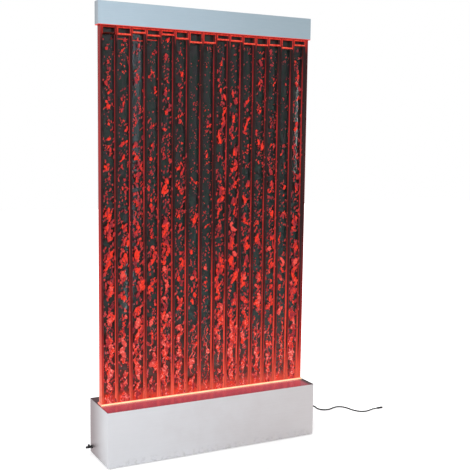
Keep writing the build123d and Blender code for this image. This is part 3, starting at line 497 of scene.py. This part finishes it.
# %% [markdown]
# The back sheet is black acrylic, and it is what makes the bubbles stand out. It isn't a dead
# black: the water in front of it carries a trace of green and violet, and low down the light
# that spills from the lamps hangs in the water as a red haze. Its polished front face also gives
# the tank most of its straight-on reflection. Its own edges at the two sides of the tank pipe
# light as the strips do, and its rear face is a plain dark grey.

# %% Black back sheet with the red haze at its foot
paint = Paint("black_acrylic")
cloud = paint.noise(60, 4, (1, 1, 0.4))
tint = paint.blend(paint.step(cloud, 0.4, 0.6), (40, 54, 49), (52, 48, 51))
height = lit_height(paint)
# Paler towards the bottom and towards the right.
paler_low_right = paint.step(height, 0.05, 0.7, 1, 0) * paint.step(paint.x, strips_low.x, strips_high.x, 0.25, 1)
tint = paint.blend(paler_low_right, tint, (64, 88, 86))
wet = paint.step(paint.y, water_back + 0.001, water_back + 0.002, 1, 0)
tint = paint.blend(wet, (22, 22, 24), tint)
wisps = paint.noise(26, 4, (1, 1, 0.5))
haze = (paint.step(height, 0.0, 0.035, 1, 0) + paint.step(height, 0.0, 0.24, 0.12, 0)) * (wisps + 0.5)
side = paint.facing("X")
rim = paint.ramp(height, [
    (0.0, (244, 120, 104)), (0.1, (216, 80, 78)), (0.3, (186, 50, 52)),
    (0.6, (140, 18, 22)), (1.0, (120, 14, 18))])
glow = paint.blend(side, (214, 52, 34), rim)
paint.finished(paint.glowing(glow, side + haze * wet * (1 - side), Base_Color=tint, IOR=1.38,
                             Roughness=0.16 - wet * 0.12))
print("black back sheet made")

# %% [markdown]
# Real refraction through a sheet, the water and the bubbles costs many bounces of light, and a
# flat sheet bends nothing that we would notice. So the front sheet is a mixture: a Transparent
# shader that lets everything behind it through, and a Glossy shader that carries the room's
# reflections, mixed by Fresnel as on real plastic. The few hundredths that it would mirror
# straight on are taken off, because the black sheet behind mirrors them without noise. Only the
# front sheet's sawn edges at the sides glow.

# %% Clear front sheet
mirrored_straight_on = 0.04
paint = Paint("clear_acrylic")
through = paint.node("ShaderNodeBsdfTransparent", sockets={"Color": (1, 1, 1, 1)})
mirror = paint.node("ShaderNodeBsdfGlossy", sockets={"Color": (0.93, 0.97, 1, 1), "Roughness": 0.03})
shine = paint.node("ShaderNodeFresnel", sockets={"IOR": 1.25}) - mirrored_straight_on
clear = paint.mixed(paint.math("MAXIMUM", shine, 0.0), through, mirror)
rim = paint.ramp(lit_height(paint), [
    (0.0, (235, 86, 70)), (0.15, (190, 46, 40)), (0.45, (124, 18, 16)), (0.9, (84, 12, 14)),
    (1.0, (120, 24, 24))])
edge = paint.glowing(rim, 1.0, Base_Color=(24, 10, 10), Roughness=0.2, IOR=1.1)
paint.finished(paint.mixed(paint.facing("X"), clear, edge))
print("clear front sheet made")

# %% [markdown]
# The bead round the tank's foot is a frosted strip that glows almost white, because it sits right
# over the lamps: cream, with a warmer tone where two lamps are further apart. The top plate is
# dark and glossy. It mirrors the lit foot of the tank, and in front of the tank it catches a red
# spill of light that fades towards the sides.

# %% Frosted bead, glossy top plate and light chips
tank_low, tank_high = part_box("water_columns")
channel_boxes = [opening["box_m"] for opening in frame["record"]["physics"]["openings"]
                 if opening["name"].startswith("channel_mouth")]
channel_count = len(channel_boxes)
pitch = channel_boxes[1][0][0] - channel_boxes[0][0][0]
channel_centres = [(box[0][0] + box[1][0]) / 2 for box in channel_boxes]

paint = Paint("frosted_acrylic")
along = paint.noise(45, 3, (1, 0.3, 0.3))
cream = paint.blend(paint.step(along, 0.38, 0.62), (255, 200, 146), (255, 219, 170))
glow = paint.blend(paint.facing("Y"), (228, 84, 66), cream)
paint.finished(paint.glowing(glow, 1.0, Base_Color=(200, 150, 130), Roughness=0.55))

paint = Paint("polished_steel")
smear = paint.noise(14, 4)
fine = paint.noise(240, 3)
spill = paint.step(paint.y, front_low.y - 0.004, front_low.y, 1, 0.1)
spill = spill * paint.step(paint.y, plate_low.y - 0.1, front_low.y, 0.5, 1)
inside = paint.step(paint.x, strips_high.x - 0.03, strips_high.x, 1, 0.06)
inside = inside * paint.step(paint.x, strips_low.x - 0.012, strips_low.x - 0.004, 0.25, 1)
glow = paint.blend(smear, (164, 64, 78), (182, 74, 84))
tone = paint.blend(paint.step(smear, 0.35, 0.65), (36, 24, 30), (46, 34, 40))
paint.finished(paint.glowing(
    glow, spill * inside * (fine * 0.3 + 0.85), Base_Color=tone, IOR=1.55,
    Roughness=paint.step(smear * 0.6 + fine * 0.4, 0.35, 0.65, 0.07, 0.12),
    Normal=paint.bump(fine, 0.00001)))

paint = Paint("light_chip")
die = paint.noise(700, 1)
glow = paint.blend(paint.step(die, 0.4, 0.6), (255, 70, 40), (255, 120, 80))
paint.finished(paint.glowing(glow, 1.0, Base_Color=(240, 220, 160), Roughness=0.3))
print("channels:", channel_count, "pitch in metres:", round(pitch, 4))

# %% [markdown]
# Each channel holds water up to its own level, with dark air above it up to the cap. At the walls
# the water climbs a few millimetres, and that curved rim, the meniscus, gathers the red light
# into a bright line. The CAD columns have flat tops, so we build each body of water again with a
# fine grid on top, raised towards the walls, and let it stand in for them. Light passes straight
# through it, and only its top carries a dark wet veil.

# %% The water in the channels
wall_gap = 0.0004
meniscus_rise = 0.0022
meniscus_reach = 0.0035
level_gap = 0.0005
levels = [box[0][2] - level_gap for box in channel_boxes]
channels = list(zip(channel_centres, levels))
grid_x, grid_y = 18, 8


def water_body(build, centre, level):
    """A closed block of water whose top is a grid that rises towards the four walls."""
    half_x = (tank_high.x - tank_low.x - (channel_count - 1) * pitch) / 2 - wall_gap
    low_y, high_y = tank_low.y + wall_gap, tank_high.y - wall_gap
    rows = []
    for row in range(grid_y + 1):
        y = low_y + (high_y - low_y) * (0.5 - 0.5 * math.cos(math.pi * row / grid_y))
        line = []
        for column in range(grid_x + 1):
            x = -half_x * math.cos(math.pi * column / grid_x)
            wall = min(half_x - abs(x), y - low_y, high_y - y)
            rise = meniscus_rise * math.exp(-wall / meniscus_reach)
            line.append(build.verts.new((centre + x, y, level + rise)))
        rows.append(line)
    for lower, upper in zip(rows, rows[1:]):
        for a, b, c, d in zip(lower, lower[1:], upper[1:], upper):
            build.faces.new((a, b, c, d))
    rim = rows[0] + [line[-1] for line in rows[1:]] + rows[-1][-2::-1] + [line[0] for line in rows[-2:0:-1]]
    foot = [build.verts.new((vert.co.x, vert.co.y, tank_low.z + wall_gap)) for vert in rim]
    for index, vert in enumerate(rim):
        after = (index + 1) % len(rim)
        build.faces.new((foot[index], foot[after], rim[after], vert))
    build.faces.new(list(reversed(foot)))


build = bmesh.new()
for centre, level in channels:
    water_body(build, centre, level)
bmesh.ops.recalc_face_normals(build, faces=build.faces)
water_mesh = bpy.data.meshes.new("water")
build.to_mesh(water_mesh)
build.free()
water_mesh.shade_smooth()
water_mesh.set_sharp_from_angle(angle=math.radians(40))
water = add_piece("water", water_mesh)

paint = Paint("water")
tint = paint.blend(paint.step(paint.noise(70, 3), 0.4, 0.6), (20, 44, 40), (40, 26, 46))
through = paint.node("ShaderNodeBsdfTransparent", sockets={"Color": (0.96, 0.98, 0.98, 1)})
veil = paint.principled(Base_Color=tint, Roughness=0.2)
veiled = paint.facing("Z", 0.3, 0.7) * 0.5
water_mesh.materials.append(paint.finished(paint.mixed(veiled, through, veil)))
print("water bodies:", channel_count, "faces:", len(water_mesh.polygons))

# %% [markdown]
# Bubbles are the heart of the piece. Air leaves a nozzle as a thin twisting stream, swells into
# broad plumes, breaks into ragged blobs and thins out into small bubbles near the top. All of
# that is one rule along a line, so Geometry Nodes make it. Python only lays straight lines of
# points up each channel, each with its own number as a seed. The tree then bends every line
# sideways with noise, gives each point a radius from more noise, sweeps a ring along it and
# roughens the result. Where the radius is nothing the tube pinches shut, so one line becomes a
# string of separate bubbles.


# %% Geometry Nodes helper: build a tree, run it, keep a plain mesh
class Graph(Board):
    """A Geometry Nodes tree with named inputs, used once on a mesh of lines."""

    def __init__(self, name):
        super().__init__(bpy.data.node_groups.new(name, "GeometryNodeTree"))
        for end in ("INPUT", "OUTPUT"):
            self.tree.interface.new_socket("Geometry", in_out=end, socket_type="NodeSocketGeometry")
        self.name = name
        self.values = {}
        self.entry = self.tree.nodes.new("NodeGroupInput")

    def inputs(self, **values):
        """Named inputs of the tree, each with its value for this use."""
        for name, value in values.items():
            socket = self.tree.interface.new_socket(name, in_out="INPUT", socket_type="NodeSocketFloat")
            self.values[socket.identifier] = value
        return [Value(self, self.entry.outputs[name]) for name in values]

    def start(self):
        return Value(self, self.entry.outputs["Geometry"])

    def curve(self):
        return self.node("GeometryNodeMeshToCurve", sockets={"Mesh": self.start()})

    def attribute(self, name):
        """A number kept on each point of the lines."""
        return self.node("GeometryNodeInputNamedAttribute", {"data_type": "FLOAT"}, {"Name": name})

    def noise(self, scale, seed, vector, detail=1):
        """Noise from about 0 to 1 that differs for each seed."""
        return self.node("ShaderNodeTexNoise", {"noise_dimensions": "4D"}, {
            "W": seed, "Scale": scale, "Detail": detail, "Vector": vector})["Fac"]

    def random(self, seed, low=0.0, high=1.0):
        """A number from low to high that differs from point to point."""
        return self.node("FunctionNodeRandomValue", {"data_type": "FLOAT"}, {
            "Min": low, "Max": high, "Seed": seed})

    def below(self, value, limit):
        return self.node("FunctionNodeCompare", {"data_type": "FLOAT", "operation": "LESS_THAN"}, {
            "A": value, "B": limit})

    def moved(self, geometry, offset):
        return self.node("GeometryNodeSetPosition", sockets={"Geometry": geometry, "Offset": offset})

    def without(self, geometry, domain, unwanted):
        return self.node("GeometryNodeDeleteGeometry", {"domain": domain}, {
            "Geometry": geometry, "Selection": unwanted})

    def tube(self, curve, radius, ring_points, closed_ends=False):
        """A tube swept along a curve, with a radius that may vary."""
        ring = self.node("GeometryNodeCurvePrimitiveCircle", sockets={
            "Resolution": ring_points, "Radius": 1})
        return self.node("GeometryNodeCurveToMesh", sockets={
            "Curve": curve, "Profile Curve": ring, "Scale": radius, "Fill Caps": closed_ends})

    def finished(self, geometry, material):
        painted = self.node("GeometryNodeSetMaterial", sockets={"Geometry": geometry, "Material": material})
        self.node("NodeGroupOutput", sockets={"Geometry": painted})
        return self

    def run(self, source):
        """The tree's result on source, as a plain piece with the tree's name."""
        modifier = source.modifiers.new("shape", "NODES")
        modifier.node_group = self.tree
        for identifier, value in self.values.items():
            modifier[identifier] = value
        graph = bpy.context.evaluated_depsgraph_get()
        mesh = bpy.data.meshes.new_from_object(source.evaluated_get(graph), depsgraph=graph)
        mesh.name = self.name
        bpy.data.objects.remove(source)
        return add_piece(self.name, mesh)


def line_mesh(lines, seeds=None, strengths=None, closed=False):
    """A mesh of separate lines of points, each with its own seed and vigour kept on its points."""
    places, edges = [], []
    for line in lines:
        first = len(places)
        places += line
        edges += [(first + step, first + step + 1) for step in range(len(line) - 1)]
        if closed:
            edges.append((len(places) - 1, first))
    mesh = bpy.data.meshes.new("lines")
    mesh.from_pydata(places, edges, [])
    kept = {"seed": seeds or range(len(lines)), "vigour": strengths or [1.0] * len(lines)}
    for key, numbers in kept.items():
        spread_out = [float(number) for number, line in zip(numbers, lines) for _ in line]
        mesh.attributes.new(key, "FLOAT", "POINT").data.foreach_set("value", spread_out)
    return add_piece("lines", mesh)


print("channel levels in metres:", [round(level, 3) for level in levels])

# %% [markdown]
# Three kinds of shape share one swaying path. Ragged tubes are the streams themselves. Clumps
# are crowds of small stretched balls on the same path, and give the torn outlines of frozen
# splashes. Plumes are broad curling tubes just above the floor. Some channels bubble harder than
# others, as in any real wall, because the air never divides evenly between the nozzles.

# %% How hard each channel bubbles
strong_channels = (1, 3, 5, 9, 10, 15)
weak_channels = (7, 8, 14)
vigour = [1.0 if index + 1 in strong_channels else 0.3 if index + 1 in weak_channels else 0.7
          for index in range(channel_count)]
step_along = 0.003
below_level = 0.01


def stream_lines(per_channel=1, apart=0.0, top_share=1.0):
    """Straight lines of points up each channel, up to a share of the water's height."""
    lines, seeds, strengths = [], [], []
    y = (tank_low.y + tank_high.y) / 2
    for index, (centre, level) in enumerate(channels):
        top = plate_top + (level - below_level - plate_top) * top_share
        count = int((top - tank_low.z) / step_along)
        for stream in range(per_channel):
            x = centre + (stream - (per_channel - 1) / 2) * apart
            lines.append([(x, y, tank_low.z + step_along * step) for step in range(count)])
            seeds.append(index * 11.7 + stream * 3.9)
            strengths.append(vigour[index])
    return line_mesh(lines, seeds, strengths)


print("strong channels:", len(strong_channels), "weak channels:", len(weak_channels))


# %% The swaying path that streams and clumps share
class Stream(Graph):
    """A tree that starts with lines of points and bends them into swaying paths."""

    def __init__(self, name, sway, swings, gap_low, gap_high):
        super().__init__(name)
        sway, self.swings, gap_low, gap_high, foot, span = self.inputs(
            sway=sway, swings=swings, gap_low=gap_low, gap_high=gap_high, foot=plate_top, span=lit_span)
        self.seed = self.attribute("seed")
        self.vigour = self.attribute("vigour")
        z = self.split(self.node("GeometryNodeInputPosition"))["Z"]
        self.along = self.vector(Z=z)
        self.height = (z - foot) / span
        self.gap = self.step(self.height, 0.0, 0.9) * (gap_high - gap_low) + gap_low
        self.gap = self.gap + (1 - self.vigour) * 0.09
        aside = self.step(self.noise(self.swings, self.seed, self.along, 3), 0.25, 0.75, -1, 1)
        deep = self.step(self.noise(self.swings, self.seed + 7.3, self.along), 0.25, 0.75, -0.2, 0.2)
        open_up = self.step(self.height, -0.07, 0.03) * sway
        self.bend = self.vector(X=aside * open_up, Y=deep * open_up)

    def roughen(self, geometry, scale, amount):
        """Pushes every point by noise of its own, so that outlines turn ragged."""
        ragged = self.node("ShaderNodeTexNoise", sockets={"Scale": scale, "Detail": 2.0})["Color"]
        push = self.vector_math("SUBTRACT", ragged, (0.5, 0.5, 0.5))
        reach = self.vector(X=amount, Y=amount * 0.4, Z=amount)
        return self.moved(geometry, self.vector_math("MULTIPLY", push, reach))


# %% Ragged tubes
def stream_tree(name, material, widest, breaks, thread, rough, **path):
    """Tubes that swell and pinch shut along the path, with a thin thread of air near the floor."""
    graph = Stream(name, **path)
    widest, breaks, thread, rough = graph.inputs(widest=widest, breaks=breaks, thread=thread, rough=rough)
    seed, along = graph.seed, graph.along
    swell = graph.step(graph.noise(breaks, seed + 3.1, along, 2) - graph.gap, 0.0, 0.07) ** 0.6
    large = graph.step(graph.noise(graph.swings * 1.4, seed + 5.7, along), 0.3, 0.7, 0.4, 1)
    string = graph.step(graph.height, 0.06, 0.26, 1, 0) * graph.step(
        graph.noise(graph.swings * 0.5, seed + 9.2, along), 0.42, 0.5)
    curve = graph.moved(graph.curve(), graph.bend)
    tube = graph.tube(curve, swell * large * widest + string * thread, ring_points=7)
    tube = graph.roughen(tube, scale=160.0, amount=rough)
    tube = graph.node("GeometryNodeMergeByDistance", sockets={"Geometry": tube, "Distance": 0.0002})
    # Where a tube is pinched shut it leaves edges and points without a face, and they go.
    edge_faces = graph.node("GeometryNodeInputMeshEdgeNeighbors")
    tube = graph.without(tube, "EDGE", graph.below(edge_faces, 0.5))
    point_faces = graph.node("GeometryNodeInputMeshVertexNeighbors")["Face Count"]
    tube = graph.without(tube, "POINT", graph.below(point_faces, 0.5))
    return graph.finished(tube, material)


# %% Clumps of small balls
def clump_tree(name, material, crowds, smallest, largest, spread, filling, facets, **path):
    """Stretched balls in crowds along the path. Facets is how finely a ball is divided."""
    graph = Stream(name, **path)
    crowds, smallest, largest, spread, filling = graph.inputs(
        crowds=crowds, smallest=smallest, largest=largest, spread=spread, filling=filling)
    crowd = graph.noise(crowds, graph.seed + 2.6, graph.along) - graph.gap
    share = graph.step(crowd, -0.06, 0.06) * graph.step(graph.height, 0.45, 0.95, 1, 0.6)
    scatter = graph.vector(X=graph.random(8, -1.0, 1.0) * spread, Y=graph.random(7, -0.6, 0.6) * spread)
    girth = graph.random(2)
    girth = (girth * girth * (largest - smallest) + smallest) * (share * 0.5 + 0.5)
    girth = girth * graph.step(graph.height, 0.1, 1.0, 1, 0.75) * (graph.vigour * 0.45 + 0.65)
    ball = graph.node("GeometryNodeMeshIcoSphere", sockets={"Radius": 1.0, "Subdivisions": facets})
    balls = graph.node("GeometryNodeInstanceOnPoints", sockets={
        "Points": graph.moved(graph.start(), graph.vector_math("ADD", graph.bend, scatter)),
        "Selection": graph.below(graph.random(3), share * filling), "Instance": ball,
        "Rotation": graph.vector(Y=graph.random(6, -0.35, 0.8)),
        "Scale": graph.vector(X=girth, Y=girth, Z=girth * graph.random(5, 1.2, 3.2))})
    balls = graph.node("GeometryNodeRealizeInstances", sockets={"Geometry": balls})
    return graph.finished(graph.roughen(balls, scale=240.0, amount=0.005), material)


# %% [markdown]
# The bubbles are pockets of air lit from below, so they glow: red-orange where they are large,
# a dimmer crimson where they are small or far up, and pink at the thick middle of a plume. The
# tone changes from bubble to bubble with noise, and they keep a wet shine on top of it.


# %% Lit bubbles
def lit_bubbles(name, bright, dim, core, high_dim):
    """Air lit from below. High_dim says how many more of the bubbles are dim near the top."""
    paint = Paint(name)
    height = lit_height(paint)
    each = paint.noise(42, 1, (1, 1, 0.5))
    inner = paint.noise(130, 2)
    lit = paint.step(each - height * high_dim, 0.32, 0.5)
    hot = paint.step(inner, 0.5, 0.66) * paint.step(height, 0.02, 0.4, 1, 0.0) * lit
    glow = paint.blend(hot, paint.blend(lit, dim, bright), core)
    return paint.finished(paint.glowing(
        glow, paint.step(inner, 0.3, 0.7, 0.8, 1.1), Base_Color=(60, 12, 14), Roughness=0.15, IOR=1.2))


large_look = lit_bubbles("bubble_large", (246, 60, 42), (160, 50, 57), (255, 140, 128), 0.12)
small_look = lit_bubbles("bubble_small", (196, 56, 54), (122, 46, 54), (240, 110, 116), 0.1)
plume_look = lit_bubbles("bubble_plume", (243, 86, 76), (184, 52, 54), (255, 156, 146), 0.0)

bubbles = [
    stream_tree("bubbles_main", large_look, widest=0.0068, breaks=34.0, thread=0.0015, rough=0.015,
                sway=0.018, swings=14.0, gap_low=0.53, gap_high=0.58).run(stream_lines()),
    stream_tree("bubbles_plume", plume_look, widest=0.0105, breaks=18.0, thread=0.0012, rough=0.018,
                sway=0.015, swings=22.0, gap_low=0.505, gap_high=0.66).run(stream_lines(top_share=0.5)),
    clump_tree("bubbles_clump", large_look, crowds=17.0, smallest=0.0024, largest=0.0074, spread=0.009,
               filling=0.66, facets=2, sway=0.018, swings=14.0, gap_low=0.485,
               gap_high=0.5).run(stream_lines()),
    clump_tree("bubbles_side", small_look, crowds=30.0, smallest=0.0022, largest=0.0044, spread=0.012,
               filling=0.47, facets=1, sway=0.01, swings=9.0, gap_low=0.42,
               gap_high=0.43).run(stream_lines(per_channel=2, apart=0.026)),
]
for piece in bubbles:
    print(piece.name, "faces:", len(piece.data.polygons))

# %% [markdown]
# Where the water meets the walls, the climbing rim catches the light as a bright red line round
# the channel. Spray that clings under the cap makes a second one, open at the bottom, with a
# short line below it, and three channels have one more on the back sheet. All of them are thin
# tubes with a radius that wavers, so a third small tree makes them.

# %% Bright rims at the water line and under the cap
rim_radius = 0.003
rim_above_level = 0.005
spray_radius = 0.0016
spray_top = cap_edge - 1.6 * spray_radius
short_line_top = spray_top - 2 * spray_radius
back_line_drops = {1: 0.013, 2: 0.026, 3: 0.012}
half_mouth = (channel_boxes[0][1][0] - channel_boxes[0][0][0]) / 2
spray_half = half_mouth - spray_radius


def rim_tree(name, material, thick):
    graph = Graph(name)
    thick, = graph.inputs(thick=thick)
    wave = graph.noise(60, graph.attribute("seed"), graph.node("GeometryNodeInputPosition"))
    radius = thick * graph.step(wave, 0.3, 0.7, 0.7, 1.15)
    tube = graph.tube(graph.curve(), radius, ring_points=8, closed_ends=True)
    return graph.finished(tube, material)


def rim_glow(name, low, high, first):
    """Light from low to high in colour. First is its strength in the leftmost channel."""
    paint = Paint(name)
    glow = paint.blend(paint.step(paint.noise(110, 3), 0.36, 0.64), low, high)
    border = channel_centres[0] + pitch / 2
    shown = paint.step(paint.x, border - 0.002, border, first, 1)
    return paint.finished(paint.glowing(glow, shown, Base_Color=(40, 12, 12), Roughness=0.2, IOR=1.2))


def between(start, end, count):
    return [tuple(Vector(start).lerp(Vector(end), step / count)) for step in range(count)]


def water_line(centre, z):
    """A closed line round a channel's four walls, with 12 or 6 points along each."""
    half = half_mouth - rim_radius
    low_y, high_y = tank_low.y + rim_radius + wall_gap, tank_high.y - rim_radius - wall_gap
    corners = [(centre - half, low_y, z), (centre + half, low_y, z),
               (centre + half, high_y, z), (centre - half, high_y, z)]
    sides = zip(corners, corners[1:] + corners[:1], (12, 6, 12, 6))
    return [point for start, end, count in sides for point in between(start, end, count)]


def short_line(centre, y, z):
    return between((centre - spray_half, y, z), (centre + spray_half, y, z), 14)


def spray_under_cap(centre, level):
    """A line up from the water, across under the cap and down again, and the short one below it."""
    left, right = centre - spray_half, centre + spray_half
    y = tank_low.y + spray_radius + wall_gap
    corners = [(left, y, level), (left, y, spray_top), (right, y, spray_top), (right, y, level)]
    line = [point for start, end in zip(corners, corners[1:]) for point in between(start, end, 10)]
    return [line + [corners[-1]], short_line(centre, y, short_line_top)]


rim_look = rim_glow("water_line", (232, 52, 46), (255, 104, 78), 0.06)
rim_lines = [water_line(centre, level + rim_above_level) for centre, level in channels]
rims = rim_tree("water_lines", rim_look, rim_radius).run(line_mesh(rim_lines, closed=True))

spray_look = rim_glow("spray", (196, 40, 38), (236, 70, 52), 0.5)
back_y = tank_high.y - spray_radius - wall_gap
spray_lines = []
for centre, level in channels:
    spray_lines += spray_under_cap(centre, level)
for index, drop in back_line_drops.items():
    spray_lines.append(short_line(channel_centres[index], back_y, levels[index] - drop))
spray = rim_tree("spray_lines", spray_look, spray_radius).run(line_mesh(spray_lines))
print("rims, faces:", len(rims.data.polygons) + len(spray.data.polygons))

# %% [markdown]
# Now every CAD piece gets its finish, which the name of its material slot leads to. The new
# pieces are told which body they move with, and the CAD pieces that they stand in for are hidden.

# %% Give each piece its finish and its place in the model
for piece in nodes.values():
    for place in piece.material_slots:
        place.material = made_materials[place.material.name.split(".")[0]]

cord.data.materials.append(made_materials["cord_jacket"])
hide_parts("cord_lead", "cord_coil", "cord_run")
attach(cord, "base")
lead_points[0]
nodes["cord_ties"]
nodes["plug_grip"]
nodes["plug_barrel"]

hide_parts("water_columns")
for piece in [water, rims, spray] + bubbles:
    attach(piece, "base")
print("finishes in use:", len(made_materials))

# %% [markdown]
# The studio is plain: a pale floor, a soft key light from the left front and a weaker lamp behind.
# Gloss doesn't mirror the key light, which would burn out the cap. Three narrow soft boxes draw
# the faint upright streaks on the front sheet. Rays from the camera, or by way of gloss or glass,
# see a white world, which for gloss is darker to the right, as dark flags in a studio would make
# it. The rest of the light stays at a level where a colour looks as it was written.


# %% Floor, lamps and world
def area_lamp(name, place, target, size, watts, colour=(1, 1, 1)):
    lamp = bpy.data.lights.new(name, "AREA")
    lamp.shape = "RECTANGLE"
    lamp.size, lamp.size_y = size
    lamp.energy = watts
    lamp.color = colour
    piece = add_piece(name, lamp)
    piece.location = place
    piece.rotation_euler = (Vector(target) - Vector(place)).to_track_quat("-Z", "Y").to_euler()
    return piece


floor_half = 12
floor_mesh = bpy.data.meshes.new("floor")
corners = [(-1, -1), (1, -1), (1, 1), (-1, 1)]
floor_mesh.from_pydata([(x * floor_half, y * floor_half, 0) for x, y in corners], [], [(0, 1, 2, 3)])
floor = add_piece("floor", floor_mesh)
paint = Paint("floor")
seen_directly = paint.node("ShaderNodeLightPath")["Is Camera Ray"]
away = paint.vector_math("LENGTH", paint.place)["Value"]
lift = paint.step(away, 0.3, 1.6, 0.25, 1) * (seen_directly * 0.9 + 0.1)
floor_mesh.materials.append(paint.finished(paint.glowing(
    (1, 1, 1), lift, Base_Color=(252, 252, 252), Roughness=0.9, Specular_IOR_Level=0.0)))

middle = (0, 0, 0.9)
key = area_lamp("key", (-3.4, -3.4, 3.2), middle, (2.4, 2.4), 125)
key.visible_glossy = False
area_lamp("back", (1.5, 3.6, 3.0), middle, (2.4, 1.6), 45)
strip_distance = 3.0


def mirrored_strip(name, x, z_low, z_high, width, watts, lean=0.0, colour=(1, 1, 1)):
    """A narrow soft box whose reflection on the front sheet runs at x from z_low to z_high."""
    spot = Vector((x, front_low.y, 0))
    way = Vector((spot.x - camera_place.x, camera_place.y - spot.y, 0))
    stretch = (way.length + strip_distance) / way.length
    place = spot + way.normalized() * strip_distance
    top, bottom = (camera_place.z + (z - camera_place.z) * stretch for z in (z_high, z_low))
    place.z = (top + bottom) / 2
    lamp = area_lamp(name, place, (spot.x, spot.y, place.z), (width * stretch, top - bottom), watts, colour)
    lamp.rotation_euler.rotate_axis("Z", lean)


mirrored_strip("soft_streak", -0.333, 0.5, 2.1, 0.036, 1.9, -0.024, (0.76, 0.88, 1))
mirrored_strip("low_streak", -0.359, 0.6, 1.08, 0.014, 0.7, -0.02, (0.76, 0.9, 1))
mirrored_strip("thin_streak", 0.465, 1.2, 1.66, 0.009, 0.5)

world = bpy.data.worlds.new("studio")
scene.world = world
world.use_nodes = True
world.node_tree.nodes.clear()
sky = Board(world.node_tree)
path = sky.node("ShaderNodeLightPath")
seen = path["Is Camera Ray"] + path["Is Glossy Ray"] + path["Is Transmission Ray"]
seen = sky.math("MINIMUM", seen, 1.0)
ambient = 0.62
way = sky.split(sky.node("ShaderNodeTexCoord")["Generated"])
in_front = sky.step(way["X"], 0.25, 0.6, 0, 0.35) * sky.math("LESS_THAN", way["Y"], 0.0)
behind = sky.step(way["X"], 0.0, 0.2, 0, 0.72) * sky.math("GREATER_THAN", way["Y"], 0.4)
flags = path["Is Glossy Ray"] * (in_front + behind)
background = sky.node("ShaderNodeBackground", sockets={
    "Color": (1, 1, 1, 1), "Strength": (seen * (1 - ambient) + ambient) * (1 - flags)})
sky.node("ShaderNodeOutputWorld", sockets={"Surface": background})
scene.view_settings.view_transform = "Standard"
print("lamps:", len(bpy.data.lights), "ambient light:", ambient)
